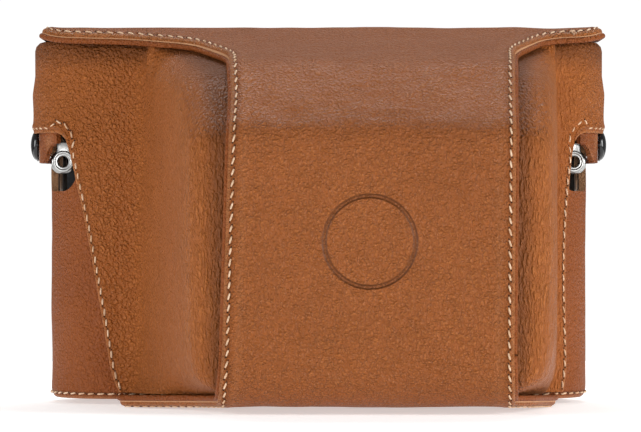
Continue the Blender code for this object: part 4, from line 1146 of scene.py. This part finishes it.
def refined(name, nodes, paint, body, uneven, cell=1.3, bevel=0.22):
    """Soft-edged version of CAD nodes, divided into cells of a size, with a little unevenness."""
    bm = bmesh.new()
    for node in nodes:
        source = frame["nodes"][node]
        part = source.data.copy()
        part.transform(source.matrix_world)
        bm.from_mesh(part)
        bpy.data.meshes.remove(part)
    bmesh.ops.scale(bm, vec=(1000, 1000, 1000), verts=bm.verts)
    bmesh.ops.translate(bm, vec=(0, CENTRE_Y, 0), verts=bm.verts)
    bmesh.ops.remove_doubles(bm, verts=bm.verts, dist=0.002)
    bmesh.ops.dissolve_limit(bm, angle_limit=0.03, verts=bm.verts, edges=bm.edges)
    sharp = [e for e in bm.edges if len(e.link_faces) == 2 and e.calc_face_angle(0) > 0.6]
    if bevel:
        bmesh.ops.bevel(bm, geom=sharp, offset=bevel, segments=3, profile=0.5, affect="EDGES", clamp_overlap=True)
    bmesh.ops.triangulate(bm, faces=bm.faces)
    for _ in range(5):
        wide = [e for e in bm.edges if e.calc_length() > cell]
        if not wide:
            break
        bmesh.ops.subdivide_edges(bm, edges=wide, cuts=1)
        bmesh.ops.triangulate(bm, faces=[f for f in bm.faces if len(f.verts) > 3])
    bm.normal_update()
    tone = bm.verts.layers.float.new("tone")
    for v in bm.verts:
        v.co += v.normal * (uneven * noisy(v.co, 5.0, 3))
        v[tone] = 0.5 * noisy(v.co, 4.0, 8)
    made = made_object(name, bm, [paint], body, sharp=45)
    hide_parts(*nodes)
    return made


def turned(name, profile, place, axis, paint, body, node):
    """Body turned about an axis from (radius, height) points, instead of a CAD node."""
    segments = 40
    bm = bmesh.new()
    rings = []
    for radius, height in profile:
        rings.append([bm.verts.new((radius * math.cos(2 * math.pi * i / segments),
                                    radius * math.sin(2 * math.pi * i / segments), height))
                      for i in range(segments)] if radius else [bm.verts.new((0, 0, height))] * segments)
    for a, b in zip(rings, rings[1:]):
        for i in range(segments):
            j = (i + 1) % segments
            corners = []
            for vert in (a[i], a[j], b[j], b[i]):
                if vert not in corners:
                    corners.append(vert)
            if len(corners) > 2:
                bm.faces.new(corners)
    spin = Vector(axis).to_track_quat("Z", "Y").to_matrix().to_4x4()
    spin.translation = Vector(place)
    bmesh.ops.transform(bm, matrix=spin, verts=bm.verts)
    bmesh.ops.recalc_face_normals(bm, faces=bm.faces)
    made = made_object(name, bm, [paint], body, sharp=40)
    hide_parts(node)
    return made


def stud_cap(name, node, place, axis, standoff, size, body):
    """Domed lacquered cap with a rolled rim."""
    base, r = standoff + LEATHER + 0.3, 4.1 * size
    dome = [(0, base + 2.1)] + [(r * 0.93 * math.sin(a), base + 0.5 + 1.6 * math.cos(a))
                                for a in np.linspace(0.12, 1.45, 9)]
    rim = [(r * 0.95, base + 0.42), (r * 0.985, base + 0.5), (r, base + 0.3), (r * 0.985, base + 0.08),
           (r * 0.96, base)]
    turned(name, dome + rim + [(1.2, base), (1.2, standoff - 0.2), (0, standoff - 0.2)], place, axis, BLACK, body,
           node)


STRAP_HALF, STRAP_FOOT, STRAP_TOP, STRAP_ARC, STRAP_SEAM = 9.0, 40, 91, 82.1, 7.1
STRAP_LOW, STRAP_HIGH = 41.7, COVER_REAR + 1.7 + LEATHER     # its outer face, over the wall and over the cover


def rear_strap():
    """Closing strap and its sewn end in one, bending where it crosses its joint."""
    zs = np.arange(STRAP_FOOT, STRAP_TOP + 0.01, 0.7)
    columns = 26
    outer, inner, tone = grids(len(zs), columns + 1)
    for i, z in enumerate(zs):
        half = STRAP_HALF if z < STRAP_ARC else math.sqrt(max(0.2, 8.9 ** 2 - (z - STRAP_ARC) ** 2)) + 0.1
        rise = min(1.0, max(0.0, (z - 58.5) / 6.0))
        face = STRAP_LOW + (STRAP_HIGH - STRAP_LOW) * rise * rise * (3 - 2 * rise)
        for j in range(columns + 1):
            u = -1 + 2 * j / columns
            x = half * math.copysign(1 - (1 - abs(u)) ** 1.35, u)
            edge = min(half - abs(x), z - STRAP_FOOT, (STRAP_TOP - z) + (half - abs(x)) * 0.4)
            fall = 0.4 * edge_fall(edge, 0.6) + 0.15 * bell(edge, 1.9, 0.4)
            wave = 0.07 * noisy((x, 0, z), 7, 4)
            outer[i, j] = (x, face - fall + wave, z)
            inner[i, j] = (x, face - LEATHER + wave * 0.5, z)
            # Pale worn edges, and painted shade along the stitch line
            tone[i, j] = 0.45 * bell(edge, 0, 0.5) - 0.25 * bell(edge, 1.9, 0.45)
    made = shell("rear_strap", outer, inner, [CASE, FLESH, RAW], None, tone)
    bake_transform(made, "half_case", "closing_strap", start=world((0, 43, 59.8)), end=world((0, 43, 63.2)))
    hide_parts("closing_strap", "strap_anchor")
    up, y = Vector((0, 1, 0)), STRAP_HIGH - 0.05
    polyline_seam("strap_end", [Vector((x, 41.62, z)) for x, z in
                                ((-STRAP_SEAM, 59), (-STRAP_SEAM, 41.9), (STRAP_SEAM, 41.9), (STRAP_SEAM, 59))],
                  up, "half_case")
    rising = [Vector((STRAP_SEAM, y, z)) for z in np.arange(64.5, 82.2, 0.6)]
    arc = [Vector((STRAP_SEAM * math.cos(a), y, STRAP_ARC + 7.0 * math.sin(a))) for a in np.linspace(0, math.pi, 40)]
    line = rising + arc[1:] + [Vector((-p.x, p.y, p.z)) for p in reversed(rising)]
    seam("strap_tip", [[(p, up) for p in line]], "closing_strap")
    stud_cap("rear_cap", "strap_cap", (0, COVER_REAR, 82.0), (0, 1, 0), 1.7, 1.3, "closing_strap")


EYE_Y, EYE_Z = 10.5, 60.9


def lug_ring(lug, side):
    """Join a round ring onto the eye of a strap lug."""
    bm = bmesh.new()
    bm.from_mesh(lug.data)
    eye = Vector((side * 64.5, EYE_Y, EYE_Z))
    rings = []
    for k in range(32):
        a = 2 * math.pi * k / 32
        out = Vector((math.cos(a), 0, math.sin(a)))
        rings.append([bm.verts.new(world(eye + out * (2.35 + 0.8 * math.cos(b)) + Vector((0, 1.1 * math.sin(b), 0))))
                      for b in np.linspace(0, 2 * math.pi, 14, endpoint=False)])
    skin(bm, rings + rings[:1], smooth=True)
    bm.to_mesh(lug.data)
    bm.free()


def lug_tab(side, label):
    """Tab over a lug with its cap and its sewn end, and the lug."""
    stud_cap(f"lug_cap_{label}", f"tab_cap_{label}", (side * BODY_HALF, STUD_Y, STUD_Z), (side, 0, 0), 1.6, 1.0,
             f"lug_tab_{label}")
    refined(f"tab_{label}", [f"lug_tab_{label}"], CASE, f"lug_tab_{label}", 0.05)
    refined(f"tab_sewn_end_{label}", [f"tab_anchor_{label}"], CASE, "half_case", 0.05)
    lug_ring(refined(f"lug_{label}", [f"strap_lug_{label}"], STEEL, "half_case", 0.0, 1.2, 0.3), side)
    corner_x, corner_y = BODY_HALF - BODY_CORNER, BODY_DEPTH - BODY_CORNER
    over = 0.3 + LEATHER
    runs = []
    for z in (62.1, 67.3):
        run = []
        for k in range(19):
            x = 44.5 + 10.5 * k / 18
            y = BODY_DEPTH + over
            if x >= corner_x:
                y = corner_y + math.sqrt(max(0, (BODY_CORNER + over) ** 2 - (x - corner_x) ** 2))
            run.append((Vector((side * x, y - 0.02, z)),
                        Vector((side * max(0, x - corner_x), y - corner_y, 0)).normalized()))
        runs.append(run)
    seam(f"tab_end_{label}", runs, "half_case")


FLAP_LEFT, FLAP_RIGHT, FLAP_BACK = -49, 57, 34


def fold_flap():
    """Hinge flap under the case, bending where it crosses the cover's joint."""
    xs = np.arange(FLAP_LEFT, FLAP_RIGHT + 0.01, 1.2)
    ys = [*np.arange(FLAP_BACK, 3, -1.2), *np.arange(3, -1.3, -0.3)]
    outer, inner, tone = grids(len(ys), len(xs))
    for i, y in enumerate(ys):
        for j, x in enumerate(xs):
            edge = min(x - FLAP_LEFT, FLAP_RIGHT - x)
            if y > 0:
                edge = min(edge, FLAP_BACK - y)
            outer[i, j] = (x, y, 0.02 + 0.25 * edge_fall(edge, 0.7) + 0.1 * bell(edge, 1.9, 0.4))
            inner[i, j] = (x, y, 1.0)
            # Pale worn edges, painted shade along the stitch line, and random tone
            tone[i, j] = 0.4 * bell(edge, 0, 0.6) - 0.25 * bell(edge, 1.9, 0.5) + 0.2 * noisy((x, y, 0), 9, 5)
    made = shell("fold_flap", outer, inner, [CASE, FLESH, RAW], None, tone)
    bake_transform(made, "half_case", "front_cover", start=world((0, 2.2, 0.55)), end=world((0, -1.3, 0.55)))
    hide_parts("hinge_flap")
    corners = [Vector((x, y, 0.05)) for x, y in ((-47.1, 3.5), (-47.1, 32.1), (55.1, 32.1), (55.1, 3.5))]
    polyline_seam("flap", corners, Vector((0, 0, -1)), "half_case")


def linings():
    """The sole, the board and the suede linings."""
    refined("sole", ["half_case_base"], CASE, "half_case", 0.05, 2.2)
    refined("stiffening_board", ["base_board"], BOARD, "half_case", 0.03, 3.0)
    refined("wall_lining", ["half_case_lining"], SUEDE, "half_case", 0.05, 2.4, 0)
    refined("floor_suede", ["floor_lining"], SUEDE, "half_case", 0.06, 2.4)
    refined("front_suede", ["cover_front_lining"], SUEDE, "front_cover", 0.05, 2.4, 0)
    for _, label in SIDES:
        refined(f"nose_suede_{label}", [f"nose_lining_{label}"], SUEDE, "front_cover", 0.05, 1.8, 0)


def fittings():
    """Materials for the CAD nodes that stay visible."""
    for name, node in frame["nodes"].items():
        if any(word in name for word in ("lug_plate", "stud", "post", "socket")):
            for slot in node.material_slots:
                slot.material = BLACK if name.startswith("lug_plate") else NICKEL


centre_panel()
panel_trim()
for side, label in SIDES:
    side_panel(side, label)
half_case()
rear_strap()
for side, label in SIDES:
    lug_tab(side, label)
fold_flap()
linings()
fittings()


# ---------------------------------------------------------------- floor, light and camera (metres)

FLOOR_HALF = 300.0                             # millimetres
SKY_BEHIND, SKY_ROUND = 1.03, 0.2              # brightness straight behind the case, and elsewhere


def studio_floor():
    made, shader, where = started("studio_floor")
    grain = texture("Noise", where, 12.0, Detail=3.0)
    wire(mixed(grain, (0.86, 0.86, 0.86), (0.9, 0.9, 0.9)), shader.inputs["Base Color"])
    shader.inputs["Roughness"].default_value = 0.9
    shader.inputs["Emission Color"].default_value = (1, 1, 1, 1)
    shader.inputs["Emission Strength"].default_value = 0.5
    bm = bmesh.new()
    bmesh.ops.create_grid(bm, x_segments=8, y_segments=8, size=FLOOR_HALF)
    bmesh.ops.translate(bm, vec=(0, 0, -0.1), verts=bm.verts)
    made_object("studio_floor", bm, [made])


def studio_sky():
    """Dim all round, and white straight behind the case."""
    sky = bpy.data.worlds.new("studio")
    bpy.context.scene.world = sky
    sky.use_nodes = True
    nodes = sky.node_tree.nodes
    _, back, _ = split(Value(nodes.new("ShaderNodeTexCoord").outputs["Generated"]))
    nodes["Background"].inputs[0].default_value = (1, 1, 1, 1)
    wire(back.ranged(0.982, 0.994, SKY_ROUND, SKY_BEHIND), nodes["Background"].inputs[1])


def lamp(name, place, aim, wide, tall, power):
    """Rectangular lamp at a place, pointed at another."""
    data = bpy.data.lights.new(name, "AREA")
    data.shape, data.size, data.size_y, data.energy = "RECTANGLE", wide, tall, power
    made = bpy.data.objects.new(name, data)
    bpy.context.collection.objects.link(made)
    made.location = place
    made.rotation_euler = (Vector(aim) - Vector(place)).to_track_quat("-Z", "Y").to_euler()


def camera(place, lens):
    """Level camera at a place, looking along +Y."""
    data = bpy.data.cameras.new("camera")
    data.sensor_width, data.lens = 36.0, lens
    data.clip_start, data.clip_end = 0.05, 10.0
    made = bpy.data.objects.new("camera", data)
    bpy.context.collection.objects.link(made)
    made.location = place
    made.rotation_euler = (math.radians(90), 0, 0)
    bpy.context.scene.camera = made


studio_floor()
studio_sky()
lamp("key_right", (0.78, -0.30, 0.22), (0.0, 0.0, 0.045), 0.35, 0.5, 5.4)
lamp("fill_left", (-0.78, -0.28, 0.20), (0.0, 0.0, 0.045), 0.3, 0.5, 3.8)
lamp("front", (0.10, -1.25, 0.10), (0.0, 0.0, 0.04), 0.6, 0.2, 5.2)
lamp("top_back", (0.0, 0.30, 0.60), (0.0, -0.03, 0.08), 0.5, 0.25, 2.6)
camera((0.0005, -0.98375, 0.04715), 221.8)
bpy.context.scene.view_settings.view_transform = "Standard"
